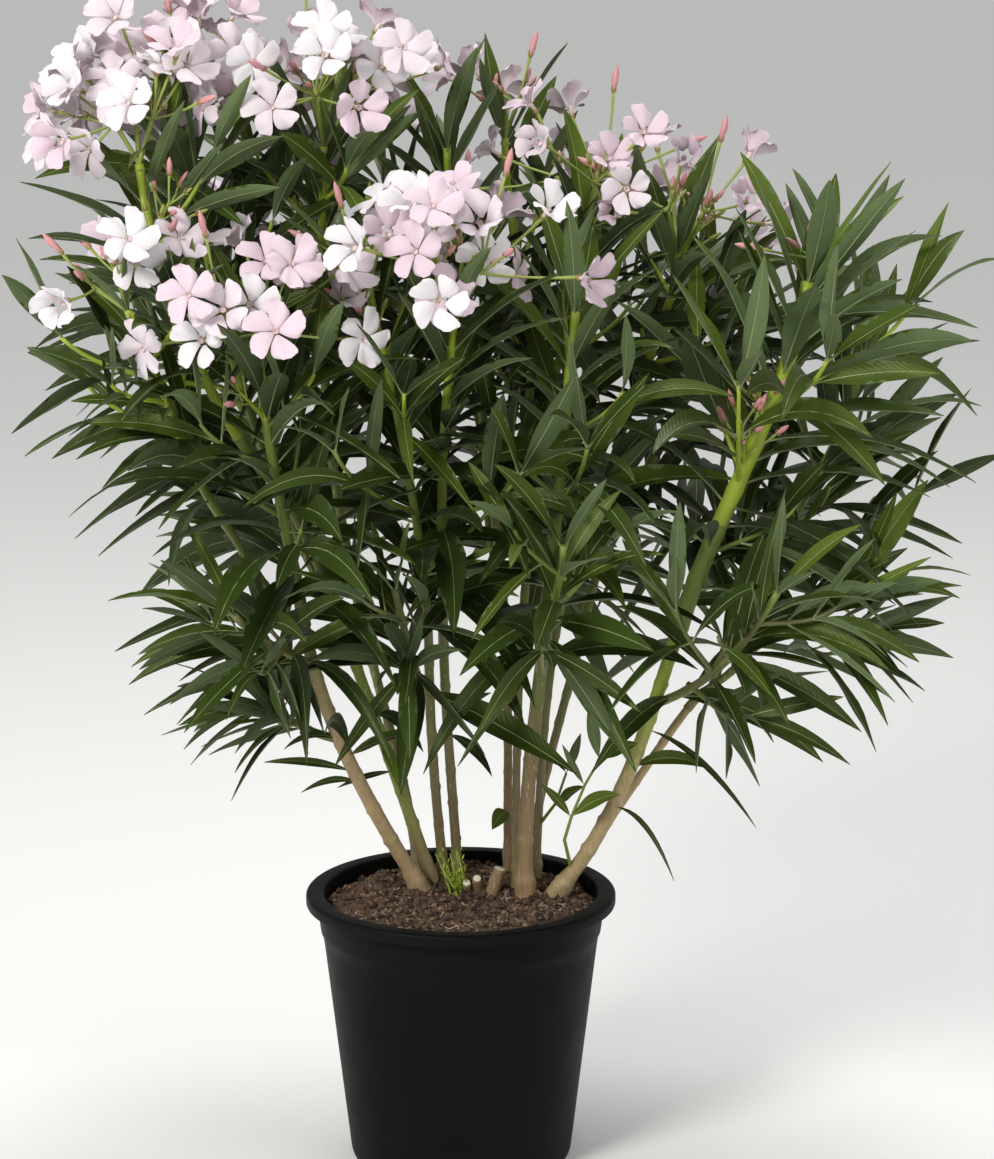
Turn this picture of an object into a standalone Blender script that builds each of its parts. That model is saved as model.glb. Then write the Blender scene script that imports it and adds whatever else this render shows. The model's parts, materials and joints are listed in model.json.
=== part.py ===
"""Oleander in a round nursery pot: a dozen canes, their boughs, and leafy, flowering shoots.

Metres, +Z up. The origin is the middle of the pot's underside, and -Y is the shrub's front.

A cane is one tapering limb from the soil to where its foliage starts. A bough is one tapering
limb that goes on from a cane. A mass is one shoot: a main axis that goes on from a cane or a
bough, its side twigs, whorls of three leaves, and a flower head. All limbs are smooth arcs
between two named places, and all leaves and flowers follow from the shoot's own few sizes.
"""

import math
import random
from collections import namedtuple

import bmesh
import bpy
from mathutils import Matrix, Vector
from mathutils.bvhtree import BVHTree

# --- Pot: a turned plastic pot with a broad rolled lip ---
POT_HEIGHT = 0.212
LIP_RADIUS = 0.120
LIP_THICKNESS = 0.0095
LIP_ROUND = 0.0030
LIP_ROUND_STEPS = 3
MOUTH_RADIUS = 0.1060
BODY_TOP_RADIUS = 0.1070
BODY_FOOT_RADIUS = 0.0865
COLLAR_STEP = 0.0016
COLLAR_BOTTOM = 0.1800
FOOT_RADIUS = 0.0850
FOOT_HEIGHT = 0.0070
INNER_FOOT_RADIUS = 0.0843
FLOOR_TOP = 0.0065
RECESS_HEIGHT = 0.0030
PAD_RADIUS = 0.0300
RECESS_OUTER_RADIUS = 0.0770
POT_SEGMENTS = 28
DRAIN_HOLES = 6
DRAIN_RADIUS = 0.0055
DRAIN_CIRCLE = 0.0600
DRAIN_SIDES = 10
NOTCH_RADIUS = 0.00275
NOTCH_LENGTH = 0.030

# --- Soil: fills the pot to just under its lip ---
SOIL_LEVEL = 0.2050
SOIL_EDGE_LEVEL = 0.1990
SOIL_FLAT_RADIUS = 0.0920
SOIL_BUMP = 0.0012

# --- Fits and facets ---
GAP = 0.0003
TIP_SHARING = 1.15
SEAT_OUTWARD, SEAT_ONWARD = 0.75, 0.65
CANE_SIDES = 6
BOUGH_SIDES = 6
AXIS_SIDES = 4
TWIG_SIDES = 3
SEGMENT = 0.055
SHARP_ANGLE = math.radians(38.0)

# --- Leaves and flowers ---
LEAVES_PER_WHORL = 3
GOLDEN_TURN = math.radians(137.5)
LEAF_WIDTH = 0.185
LEAF_KEEL = 0.018
LONG_LEAF = 0.158
LONG_SHARES = ((0.26, 0.86), (0.64, 0.84))
SHORT_SHARES = ((0.42, 1.0),)
ROOT_CLEAR = 0.16
SWING = 0.5
CLEARANCE = 0.0012
TRIES = 5
FLOWER_RADIUS = 0.0235
FLOWER_DEPTH = 0.0150
FLOWER_NOTCH = 0.52
FLOWER_DISH = 0.0022
FLOWER_LOOK = Vector((0.0, -0.40, 0.10))
PETAL_CORNERS = 10
BUD_LENGTH = 0.020
BUD_RADIUS = 0.0028
STALK_RADIUS = 0.0012
BRANCH_RADIUS = 0.0018
BRANCH_LEAN = 0.50
BRANCH_SINK = 0.0060
FORK_SINK = 0.0030
AXIS_RADIUS = 0.0036
AXIS_TIP_RADIUS = 0.0024
TWIG_RADIUS = 0.0024
TWIG_TIP_RADIUS = 0.0018
FIRST_WHORL, LAST_WHORL = 0.10, 0.98
WIDE_PITCH, STEEP_PITCH = 82.0, 26.0
LEVEL_BEYOND, LOWEST_HEADING = 0.090, -0.24
OUTER_DROOP, INNER_DROOP = 0.26, 0.42
SIDE_PITCHES = (66.0, 28.0)
SIDE_WHORLS = (0.55, 0.98)
SIDE_LEAF = 0.85
FIRST_SIDE, SIDE_STEP = 0.42, 0.25
SIDE_LENGTH, SIDE_RISE = 0.40, 0.06
HEAD_SIZE, HEAD_GROWTH, HEAD_POWER = 0.034, 0.0060, 0.85
HEAD_BRANCH, HEAD_MIDDLE, HEAD_REACH, HEAD_SPREAD = 0.62, 0.30, 1.30, 0.14
HEAD_POLAR = math.radians(88.0)
FLOWER_SPIN = 0.45

# --- The crown's reach: an upright, slightly squared ellipsoid over a skirt clear of the pot ---
CROWN_CENTRE = Vector((0.030, 0.000, 0.595))
CROWN_RADII = Vector((0.395, 0.325, 0.325))
CROWN_SQUARENESS = 2.6
SKIRT = 0.290
SKIRT_RISE = 0.22

Cane = namedtuple("Cane", "name foot lean tip tip_lean radius tip_radius flare")
Bough = namedtuple("Bough", "name parent share tip lean radius tip_radius")
Mass = namedtuple("Mass", "name parent share tip lean whorls leaf flowers buds twigs turn")
Limb = namedtuple("Limb", "path radii sides seat tip")
Leaf = namedtuple("Leaf", "root heading across length width droop")
Flower = namedtuple("Flower", "root base facing spin")
Bud = namedtuple("Bud", "root base")

CANES = (
    Cane("cane_left_front", (-0.031, 0.023), (-0.55, -0.25),
         (-0.118, -0.038, 0.435), (-0.14, -0.20), 0.0064, 0.0046, 0.25),
    Cane("cane_left", (-0.0225, 0.0395), (-0.30, -0.10),
         (-0.098, 0.014, 0.440), (-0.32, -0.05), 0.0052, 0.0041, 0.15),
    Cane("cane_left_rear", (-0.034, 0.060), (-0.10, 0.25),
         (-0.086, 0.120, 0.430), (-0.20, 0.20), 0.0042, 0.0037, 0.15),
    Cane("cane_middle_left", (-0.0135, 0.0510), (-0.10, -0.10),
         (-0.0240, -0.002, 0.395), (0.00, -0.35), 0.0041, 0.0037, 0.15),
    Cane("cane_middle_right", (-0.0025, 0.0530), (-0.06, -0.10),
         (-0.0130, 0.014, 0.400), (-0.02, -0.35), 0.0041, 0.0037, 0.15),
    Cane("cane_centre", (0.0500, -0.0010), (-0.04, 0.00),
         (0.0635, -0.015, 0.412), (0.10, -0.12), 0.0066, 0.0048, 0.14),
    Cane("cane_centre_thin", (0.0425, 0.0200), (0.00, 0.03),
         (0.0460, 0.026, 0.390), (0.05, 0.05), 0.0034, 0.0031, 0.15),
    Cane("cane_centre_rear", (0.0370, 0.0720), (-0.02, 0.10),
         (0.0350, 0.098, 0.390), (-0.05, 0.15), 0.0037, 0.0033, 0.20),
    Cane("cane_centre_back", (0.0590, 0.0480), (0.02, 0.05),
         (0.0740, 0.068, 0.400), (0.15, 0.15), 0.0036, 0.0032, 0.20),
    Cane("cane_right", (0.0715, 0.0040), (0.85, -0.05),
         (0.167, -0.025, 0.430), (0.30, -0.08), 0.0064, 0.0049, 0.14),
    Cane("cane_right_thin", (0.0740, 0.0300), (0.90, 0.00),
         (0.178, 0.036, 0.350), (0.75, 0.05), 0.0036, 0.0032, 0.15),
    Cane("cane_right_rear", (0.0520, 0.0680), (0.12, 0.15),
         (0.100, 0.120, 0.410), (0.20, 0.15), 0.0038, 0.0034, 0.20),
    Cane("stub_tall", (0.0240, 0.0140), (0.30, 0.00),
         (0.0305, 0.014, 0.2245), (0.30, 0.00), 0.0056, 0.0050, 0.10),
    Cane("stub_low_left", (0.0035, 0.0100), (0.05, -0.40),
         (0.0045, 0.003, 0.2165), (0.10, -0.75), 0.0034, 0.0031, 0.10),
    Cane("stub_low_right", (0.0115, 0.0130), (0.05, -0.40),
         (0.0125, 0.005, 0.2195), (0.10, -0.75), 0.0036, 0.0033, 0.10),
)

BOUGHS = (
    Bough("bough_left", "cane_left", 1.0, (-0.150, 0.012, 0.560), (-0.38, 0.02), 0.0044, 0.0038),
    Bough("bough_left_side", "cane_left", 0.80, (-0.178, -0.030, 0.510), (-0.60, -0.35),
          0.0036, 0.0032),
    Bough("bough_left_rear", "cane_left_rear", 1.0, (-0.106, 0.104, 0.590), (-0.02, -0.25),
          0.0038, 0.0034),
    Bough("bough_back_left", "cane_left_rear", 0.82, (-0.150, 0.175, 0.500), (-0.40, 0.35),
          0.0036, 0.0032),
    Bough("bough_centre", "cane_centre_thin", 1.0, (0.060, 0.036, 0.545), (0.12, 0.05),
          0.0034, 0.0030),
    Bough("bough_centre_rear", "cane_centre_rear", 1.0, (0.018, 0.090, 0.560), (-0.10, -0.10),
          0.0036, 0.0032),
    Bough("bough_back", "cane_centre_rear", 0.80, (0.020, 0.180, 0.480), (-0.05, 0.55),
          0.0034, 0.0030),
    Bough("bough_centre_back", "cane_centre_back", 1.0, (0.122, 0.076, 0.550), (0.30, 0.00),
          0.0033, 0.0030),
    Bough("bough_right_rear", "cane_right_rear", 1.0, (0.150, 0.150, 0.520), (0.35, 0.20),
          0.0036, 0.0032),
    Bough("bough_right_thin", "cane_right_thin", 1.0, (0.215, 0.030, 0.385), (0.70, -0.10),
          0.0034, 0.0030),
)

MASSES = (
    Mass("mass_left_front", "cane_left_front", 1.0, (-0.145, -0.086, 0.632), (-0.08, -0.15),
         6, 0.160, 8, 2, 1, 2.9),
    Mass("mass_left_low", "cane_left_front", 0.86, (-0.165, -0.110, 0.455), (-0.80, -0.40),
         3, 0.125, 0, 0, 0, 0.0),
    Mass("mass_left_foot", "cane_left_front", 0.60, (-0.150, -0.022, 0.372), (-0.80, -0.10),
         3, 0.105, 0, 0, 0, 0.0),
    Mass("mass_left_top", "bough_left", 1.0, (-0.205, 0.022, 0.790), (-0.15, 0.00),
         6, 0.150, 9, 3, 1, 1.2),
    Mass("mass_left_outer", "bough_left", 0.70, (-0.234, -0.046, 0.780), (-0.10, 0.05),
         6, 0.145, 6, 3, 1, 3.4),
    Mass("mass_left_side", "bough_left_side", 1.0, (-0.240, -0.100, 0.680), (-0.50, -0.10),
         4, 0.098, 3, 2, 1, 3.0),
    Mass("mass_middle_left", "cane_middle_left", 1.0, (-0.066, -0.062, 0.690), (-0.22, 0.00),
         7, 0.145, 2, 5, 1, 4.2),
    Mass("mass_middle_low", "cane_middle_left", 0.86, (-0.048, -0.085, 0.470), (-0.20, -0.40),
         3, 0.125, 0, 0, 0, 0.0),
    Mass("mass_middle", "cane_middle_right", 1.0, (-0.003, -0.086, 0.672), (0.12, -0.08),
         7, 0.145, 9, 2, 1, 5.4),
    Mass("mass_centre", "cane_centre", 1.0, (0.086, -0.056, 0.672), (0.10, -0.05),
         7, 0.150, 0, 0, 1, 4.9),
    Mass("mass_centre_low", "cane_centre", 0.90, (0.076, -0.145, 0.515), (0.05, -0.30),
         4, 0.130, 0, 0, 0, 0.0),
    Mass("mass_centre_top", "bough_centre", 1.0, (0.094, 0.050, 0.722), (0.05, -0.05),
         5, 0.135, 8, 2, 1, 0.6),
    Mass("mass_top_leafy", "bough_centre_rear", 1.0, (-0.010, 0.060, 0.780), (0.00, 0.00),
         6, 0.145, 0, 0, 1, 2.2),
    Mass("mass_top_bloom", "bough_centre_rear", 0.72, (0.034, 0.090, 0.785), (0.00, -0.15),
         5, 0.130, 3, 1, 0, 0.4),
    Mass("mass_upper_left", "bough_left_rear", 1.0, (-0.102, 0.028, 0.785), (0.05, -0.05),
         6, 0.145, 10, 2, 1, 2.0),
    Mass("mass_back_left", "bough_back_left", 1.0, (-0.218, 0.172, 0.670), (-0.20, 0.10),
         5, 0.150, 4, 1, 1, 2.4),
    Mass("mass_back_left_low", "bough_back_left", 0.60, (-0.165, 0.215, 0.480), (-0.40, 0.60),
         4, 0.140, 0, 0, 1, 1.6),
    Mass("mass_back", "bough_back", 1.0, (0.000, 0.205, 0.670), (-0.05, 0.10),
         6, 0.150, 4, 1, 1, 1.0),
    Mass("mass_back_low", "bough_back", 0.55, (0.080, 0.222, 0.460), (0.30, 0.60),
         4, 0.135, 0, 0, 1, 1.0),
    Mass("mass_back_top", "bough_left_rear", 0.60, (-0.105, 0.170, 0.740), (0.00, 0.10),
         5, 0.140, 4, 1, 0, 1.0),
    Mass("mass_right_top", "bough_centre_back", 1.0, (0.166, 0.060, 0.700), (0.08, 0.00),
         5, 0.145, 7, 2, 1, 5.8),
    Mass("mass_back_right", "bough_right_rear", 1.0, (0.212, 0.168, 0.640), (0.10, 0.10),
         5, 0.150, 4, 1, 1, 0.8),
    Mass("mass_back_right_low", "bough_right_rear", 0.60, (0.240, 0.175, 0.460), (0.80, 0.40),
         4, 0.140, 0, 0, 1, 5.6),
    Mass("mass_back_right_top", "bough_centre_back", 0.60, (0.115, 0.165, 0.710), (0.05, 0.15),
         5, 0.140, 3, 1, 0, 0.0),
    Mass("mass_right", "cane_right", 1.0, (0.258, -0.040, 0.692), (0.16, 0.00),
         8, 0.172, 0, 3, 2, 4.3),
    Mass("mass_right_front", "cane_right", 0.74, (0.232, -0.135, 0.478), (0.50, -0.40),
         4, 0.132, 0, 0, 1, 3.0),
    Mass("mass_right_outer", "bough_right_thin", 0.55, (0.312, 0.078, 0.622), (0.15, 0.05),
         6, 0.155, 0, 0, 1, 0.3),
    Mass("mass_right_low", "bough_right_thin", 1.0, (0.300, -0.010, 0.452), (0.70, -0.20),
         4, 0.140, 0, 0, 1, 5.2),
)

# --- Plain colours ---
POT_COLOUR = (0.010, 0.010, 0.011)
SOIL_COLOUR = (0.050, 0.030, 0.018)
CANE_COLOUR = (0.300, 0.220, 0.120)
BOUGH_COLOUR = (0.160, 0.200, 0.060)
FOLIAGE_COLOUR = (0.030, 0.085, 0.022)


def material(name, colour, roughness):
    """A plain painted surface: base colour, roughness and no metal."""
    made = bpy.data.materials.new(name)
    made.use_nodes = True
    shader = made.node_tree.nodes["Principled BSDF"]
    shader.inputs["Base Color"].default_value = (*colour, 1.0)
    shader.inputs["Roughness"].default_value = roughness
    shader.inputs["Metallic"].default_value = 0.0
    return made


def add_object(name, verts, faces, collection=None):
    """A new object from plain corner points and faces."""
    mesh = bpy.data.meshes.new(name)
    mesh.from_pydata([tuple(v) for v in verts], [], faces)
    mesh.update()
    made = bpy.data.objects.new(name, mesh)
    (collection or bpy.context.scene.collection).objects.link(made)
    return made


def finish(made, colour, roughness):
    """Gives an object its material, and smooth shading over all but its sharp edges."""
    made.data.materials.clear()
    made.data.materials.append(material(made.name, colour, roughness))
    made.data.shade_smooth()
    made.data.set_sharp_from_angle(angle=SHARP_ANGLE)


def turned(profile, segments):
    """A solid turned about Z. The profile runs from the axis at the top, down the outside and
    back to the axis at the bottom; its two ends lie on the axis."""
    verts, faces, rings = [], [], []
    for radius, height in profile:
        if radius == 0.0:
            rings.append([len(verts)] * segments)
            verts.append((0.0, 0.0, height))
            continue
        rings.append(list(range(len(verts), len(verts) + segments)))
        for k in range(segments):
            angle = 2.0 * math.pi * k / segments
            verts.append((radius * math.cos(angle), radius * math.sin(angle), height))
    for upper, lower in zip(rings, rings[1:]):
        for k in range(segments):
            following = (k + 1) % segments
            corners = (upper[k], lower[k], lower[following], upper[following])
            faces.append(tuple(dict.fromkeys(corners)))
    return verts, faces


def inner_radius(height):
    """Inner radius of the pot, a straight taper from the mouth to the floor."""
    share = (height - FLOOR_TOP) / (POT_HEIGHT - LIP_ROUND - FLOOR_TOP)
    return INNER_FOOT_RADIUS + share * (MOUTH_RADIUS - INNER_FOOT_RADIUS)


def wall_radius(height):
    """Outer radius of the pot's body, a straight taper from the collar to the foot."""
    share = (height - FOOT_HEIGHT) / (COLLAR_BOTTOM - FOOT_HEIGHT)
    return BODY_FOOT_RADIUS + share * (BODY_TOP_RADIUS - BODY_FOOT_RADIUS)


def lip_profile():
    """The lip from its inner edge, over its rounded outer edge, to the collar under it."""
    top = POT_HEIGHT
    under = top - LIP_THICKNESS
    points = [(MOUTH_RADIUS, top - LIP_ROUND), (MOUTH_RADIUS + LIP_ROUND, top)]
    for step in range(LIP_ROUND_STEPS + 1):
        angle = 0.5 * math.pi * step / LIP_ROUND_STEPS
        reach = LIP_RADIUS - LIP_ROUND + LIP_ROUND * math.sin(angle)
        points.append((reach, top - LIP_ROUND + LIP_ROUND * math.cos(angle)))
    collar = wall_radius(under) + COLLAR_STEP
    points += [(LIP_RADIUS - 0.5 * LIP_ROUND, under), (collar, under)]
    return points


def pot():
    """The pot: lip, collar, tapering wall, foot ring, recessed floor with a flat middle pad."""
    collar_foot = wall_radius(COLLAR_BOTTOM)
    profile = [(0.0, FLOOR_TOP), (INNER_FOOT_RADIUS, FLOOR_TOP)]
    profile += lip_profile()
    profile += [
        (collar_foot + COLLAR_STEP, COLLAR_BOTTOM + COLLAR_STEP),
        (collar_foot, COLLAR_BOTTOM),
        (BODY_FOOT_RADIUS, FOOT_HEIGHT),
        (FOOT_RADIUS, 0.0),
        (RECESS_OUTER_RADIUS, 0.0),
        (RECESS_OUTER_RADIUS - RECESS_HEIGHT, RECESS_HEIGHT),
        (PAD_RADIUS + RECESS_HEIGHT, RECESS_HEIGHT),
        (PAD_RADIUS, 0.0),
        (0.0, 0.0),
    ]
    made = add_object("pot", *turned(profile, POT_SEGMENTS))
    cutter = drain_cutter()
    drains = made.modifiers.new("Drain holes", "BOOLEAN")
    drains.operation = "DIFFERENCE"
    drains.solver = "EXACT"
    drains.object = cutter
    finish(made, POT_COLOUR, 0.48)
    return made


def drain_cutter():
    """Round drain holes through the floor, and as many half-round notches in the foot."""
    shape = bmesh.new()
    for k in range(DRAIN_HOLES):
        angle = 2.0 * math.pi * (k + 0.5) / DRAIN_HOLES
        outward = Vector((math.cos(angle), math.sin(angle), 0.0))
        through = Matrix.Translation(outward * DRAIN_CIRCLE)
        bmesh.ops.create_cone(shape, cap_ends=True, segments=DRAIN_SIDES, radius1=DRAIN_RADIUS,
                              radius2=DRAIN_RADIUS, depth=4.0 * FLOOR_TOP, matrix=through)
        middle = 0.5 * (RECESS_OUTER_RADIUS + FOOT_RADIUS)
        across = Matrix.Translation(outward * middle) @ Matrix.Rotation(angle, 4, "Z")
        across = across @ Matrix.Rotation(0.5 * math.pi, 4, "Y")
        bmesh.ops.create_cone(shape, cap_ends=True, segments=DRAIN_SIDES, radius1=NOTCH_RADIUS,
                              radius2=NOTCH_RADIUS, depth=NOTCH_LENGTH, matrix=across)
    mesh = bpy.data.meshes.new("drain_cutter")
    shape.to_mesh(mesh)
    shape.free()
    made = bpy.data.objects.new("drain_cutter", mesh)
    bpy.context.scene.collection.objects.link(made)
    made.hide_render = True
    made.display_type = "WIRE"
    return made


def soil():
    """The soil, flat under the canes and a little lower and uneven towards the pot's wall."""
    inner_top = inner_radius(SOIL_EDGE_LEVEL) - GAP
    inner_floor = inner_radius(FLOOR_TOP) - GAP
    profile = [
        (0.0, SOIL_LEVEL),
        (SOIL_FLAT_RADIUS, SOIL_LEVEL),
        (0.5 * (SOIL_FLAT_RADIUS + inner_top), 0.5 * (SOIL_LEVEL + SOIL_EDGE_LEVEL)),
        (inner_top, SOIL_EDGE_LEVEL),
        (inner_floor, FLOOR_TOP + GAP),
        (0.0, FLOOR_TOP + GAP),
    ]
    verts, faces = turned(profile, POT_SEGMENTS)
    rng = random.Random("soil")
    bumpy = range(1 + POT_SEGMENTS, 1 + 2 * POT_SEGMENTS)
    for k in bumpy:
        x, y, z = verts[k]
        verts[k] = (x, y, z - rng.random() * SOIL_BUMP)
    made = add_object("soil", verts, faces)
    finish(made, SOIL_COLOUR, 0.95)
    return made


def arc(start, leaving, end, arriving):
    """A smooth arc through space as a function of its share from 0 to 1."""
    reach = (end - start).length / 3.0
    first = start + leaving.normalized() * reach
    second = end - arriving.normalized() * reach

    def point(share):
        left = 1.0 - share
        return (start * left ** 3 + first * (3.0 * left * left * share)
                + second * (3.0 * left * share * share) + end * share ** 3)

    return point


def along(curve, count):
    """Evenly shared points on a curve."""
    return [curve(k / count) for k in range(count + 1)]


def heading_at(curve, share):
    """The curve's direction at a share of its length."""
    step = 0.01
    return (curve(min(share + step, 1.0)) - curve(max(share - step, 0.0))).normalized()


def square_to(direction, hint):
    """The part of hint that is square to direction, one unit long."""
    square = hint - direction * hint.dot(direction)
    if square.length < 1e-6:
        square = direction.orthogonal()
    return square.normalized()


def upright(lean):
    """The direction that goes lean sideways for each unit of height."""
    return Vector((lean[0], lean[1], 1.0)).normalized()


def tube(limb):
    """The faceted solid of a limb. It starts square to its seat, or from a point where it has
    none, and ends square to its tip."""
    verts, faces = [], []
    path, sides = limb.path, limb.sides
    first = (path[1] - path[0]).normalized()
    reference = square_to(first, Vector((0.3, -1.0, 0.1)))
    pointed = limb.seat is None
    if pointed:
        verts.append(path[0])
    for k in range(pointed, len(path)):
        before, after = path[max(k - 1, 0)], path[min(k + 1, len(path) - 1)]
        direction = (after - before).normalized()
        reference = square_to(direction, reference)
        other = direction.cross(reference)
        for side in range(sides):
            angle = 2.0 * math.pi * side / sides
            offset = (reference * math.cos(angle) + other * math.sin(angle)) * limb.radii[k]
            normal = {0: limb.seat, len(path) - 1: limb.tip}.get(k)
            if normal is not None:
                offset -= direction * (offset.dot(normal) / direction.dot(normal))
            verts.append(path[k] + offset)
    first_ring = int(pointed)
    rings = len(path) - first_ring
    for side in range(sides):
        following = (side + 1) % sides
        if pointed:
            faces.append((0, 1 + following, 1 + side))
        for ring in range(rings - 1):
            low = first_ring + ring * sides
            high = low + sides
            faces.append((low + side, low + following, high + following))
            faces.append((low + side, high + following, high + side))
    if not pointed:
        faces.append(tuple(reversed(range(sides))))
    faces.append(tuple(range(len(verts) - sides, len(verts))))
    return verts, faces


def tapered(start_radius, end_radius, count):
    """Radii from one end of a limb to the other."""
    return [start_radius + (end_radius - start_radius) * k / count for k in range(count + 1)]


def segments_for(curve):
    """How many straight runs a limb needs."""
    return max(2, round((curve(1.0) - curve(0.0)).length / SEGMENT))


def grow_cane(cane):
    """A cane's arc and limb. Its foot flares over half a run and is cut flat over the soil."""
    start = Vector((*cane.foot, SOIL_LEVEL + GAP))
    tip = Vector(cane.tip)
    curve = arc(start, upright(cane.lean), tip, upright(cane.tip_lean))
    count = segments_for(curve)
    path = along(curve, count)
    radii = tapered(cane.radius, cane.tip_radius, count)
    path.insert(1, curve(0.5 / count))
    radii.insert(1, 0.5 * (radii[0] + radii[1]))
    radii[0] *= 1.0 + cane.flare
    return curve, Limb(path, radii, CANE_SIDES, Vector((0.0, 0.0, 1.0)), heading_at(curve, 1.0))


def seat_on(parent, share, tip, radius, siblings):
    """Where a limb sits on its parent, clear by GAP: on the flat tip, or flat on a side facet.
    Limbs that share a tip stand side by side, each towards its own end."""
    curve, tree = parent
    point, direction = curve(share), heading_at(curve, share)
    towards = square_to(direction, tip - point)
    if share >= 1.0:
        aside = TIP_SHARING * radius if siblings > 1 else 0.0
        return point + direction * GAP + towards * aside, direction, direction
    surface, normal = tree.ray_cast(point, towards)[:2]
    leaving = (normal * SEAT_OUTWARD + direction * SEAT_ONWARD).normalized()
    return surface + normal * GAP, normal, leaving


def grow_on(parent, child, radius, siblings):
    """The arc and seat plane of a limb that goes on from a parent limb."""
    tip = Vector(child.tip)
    seat, normal, leaving = seat_on(parent, child.share, tip, radius, siblings)
    return arc(seat, leaving, tip, upright(child.lean)), normal


def parent_of(curve, solid):
    """What a limb's own children need of it: its arc, and its faces to sit on."""
    verts, faces = solid
    return curve, BVHTree.FromPolygons([tuple(v) for v in verts], faces)


def whorls(curve, shares, leaf, rng, sink, pitches):
    """Whorls of three leaves at the given shares of a twig. Each whorl is turned by half a
    step from the one under it. Low leaves lie wide and hang, except at the crown's two broad
    sides, where they lie nearly level. High ones are short and steep."""
    leaves = []
    turn = rng.uniform(0.0, 2.0 * math.pi)
    for k, share in enumerate(shares):
        point, direction = curve(share), heading_at(curve, share)
        reference = square_to(direction, Vector((1.0, 0.2, 0.1)))
        turn += math.pi / LEAVES_PER_WHORL + rng.uniform(-0.15, 0.15)
        height = share ** 1.4
        for j in range(LEAVES_PER_WHORL):
            angle = turn + 2.0 * math.pi * j / LEAVES_PER_WHORL + rng.uniform(-0.12, 0.12)
            pitch = math.radians(pitches[0] + (pitches[1] - pitches[0]) * height
                                 + rng.uniform(-9.0, 9.0))
            radial = Matrix.Rotation(angle, 3, direction) @ reference
            heading = direction * math.cos(pitch) + radial * math.sin(pitch)
            outer = abs(point.x - CROWN_CENTRE.x) > LEVEL_BEYOND
            if outer:
                heading.z = max(heading.z, LOWEST_HEADING)
                heading.normalize()
            across = direction.cross(radial)
            length = leaf * (1.0 - 0.28 * height) * rng.uniform(0.86, 1.10)
            droop = (OUTER_DROOP if outer else INNER_DROOP) * (1.0 - height) \
                + rng.uniform(0.02, 0.14)
            width = length * LEAF_WIDTH * rng.uniform(0.9, 1.12)
            root = point - heading * sink
            leaves.append(Leaf(root, heading, across, length, width, droop))
    return leaves


def flower_head(tip, direction, mass, rng):
    """A loose dome of flowers and buds: three short branches, and a stalk to each flower."""
    twigs, flowers, buds = [], [], []
    total = mass.flowers + mass.buds
    if total == 0:
        return twigs, flowers, buds
    size = HEAD_SIZE + HEAD_GROWTH * mass.flowers ** HEAD_POWER
    reference = square_to(direction, Vector((1.0, 0.3, 0.0)))
    branches = 3 if total > 3 else 1
    forks = []
    for k in range(branches):
        turn = mass.turn + 2.0 * math.pi * k / branches
        radial = Matrix.Rotation(turn, 3, direction) @ reference
        lean = BRANCH_LEAN if branches > 1 else 0.0
        heading = (direction + radial * lean).normalized()
        start = tip - heading * BRANCH_SINK
        end = tip + heading * size * HEAD_BRANCH
        forks.append(end - heading * FORK_SINK)
        twigs.append(Limb([start, start.lerp(end, 0.35), end],
                          [0.0, BRANCH_RADIUS, BRANCH_RADIUS], TWIG_SIDES, None, None))
    for k in range(total):
        ring = (k + 0.5) / total
        polar = math.acos(1.0 - ring * (1.0 - math.cos(HEAD_POLAR)))
        turn = mass.turn + k * GOLDEN_TURN
        radial = Matrix.Rotation(turn, 3, direction) @ reference
        outward = direction * math.cos(polar) + radial * math.sin(polar)
        far = size * (HEAD_REACH + rng.uniform(-HEAD_SPREAD, HEAD_SPREAD))
        centre = tip + direction * size * HEAD_MIDDLE + outward * far
        start = min(forks, key=lambda fork: (fork - centre).length)
        towards = (centre - start).normalized()
        facing = (0.4 * outward + 1.2 * towards + FLOWER_LOOK).normalized()
        flowering = (k * mass.flowers) // total != ((k + 1) * mass.flowers) // total
        depth = FLOWER_DEPTH if flowering else 0.5 * BUD_LENGTH
        base = centre - facing * depth
        if flowering:
            flowers.append(Flower(start, base, facing, rng.uniform(-FLOWER_SPIN, FLOWER_SPIN)))
        else:
            buds.append(Bud(start, base))
    return twigs, flowers, buds


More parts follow.
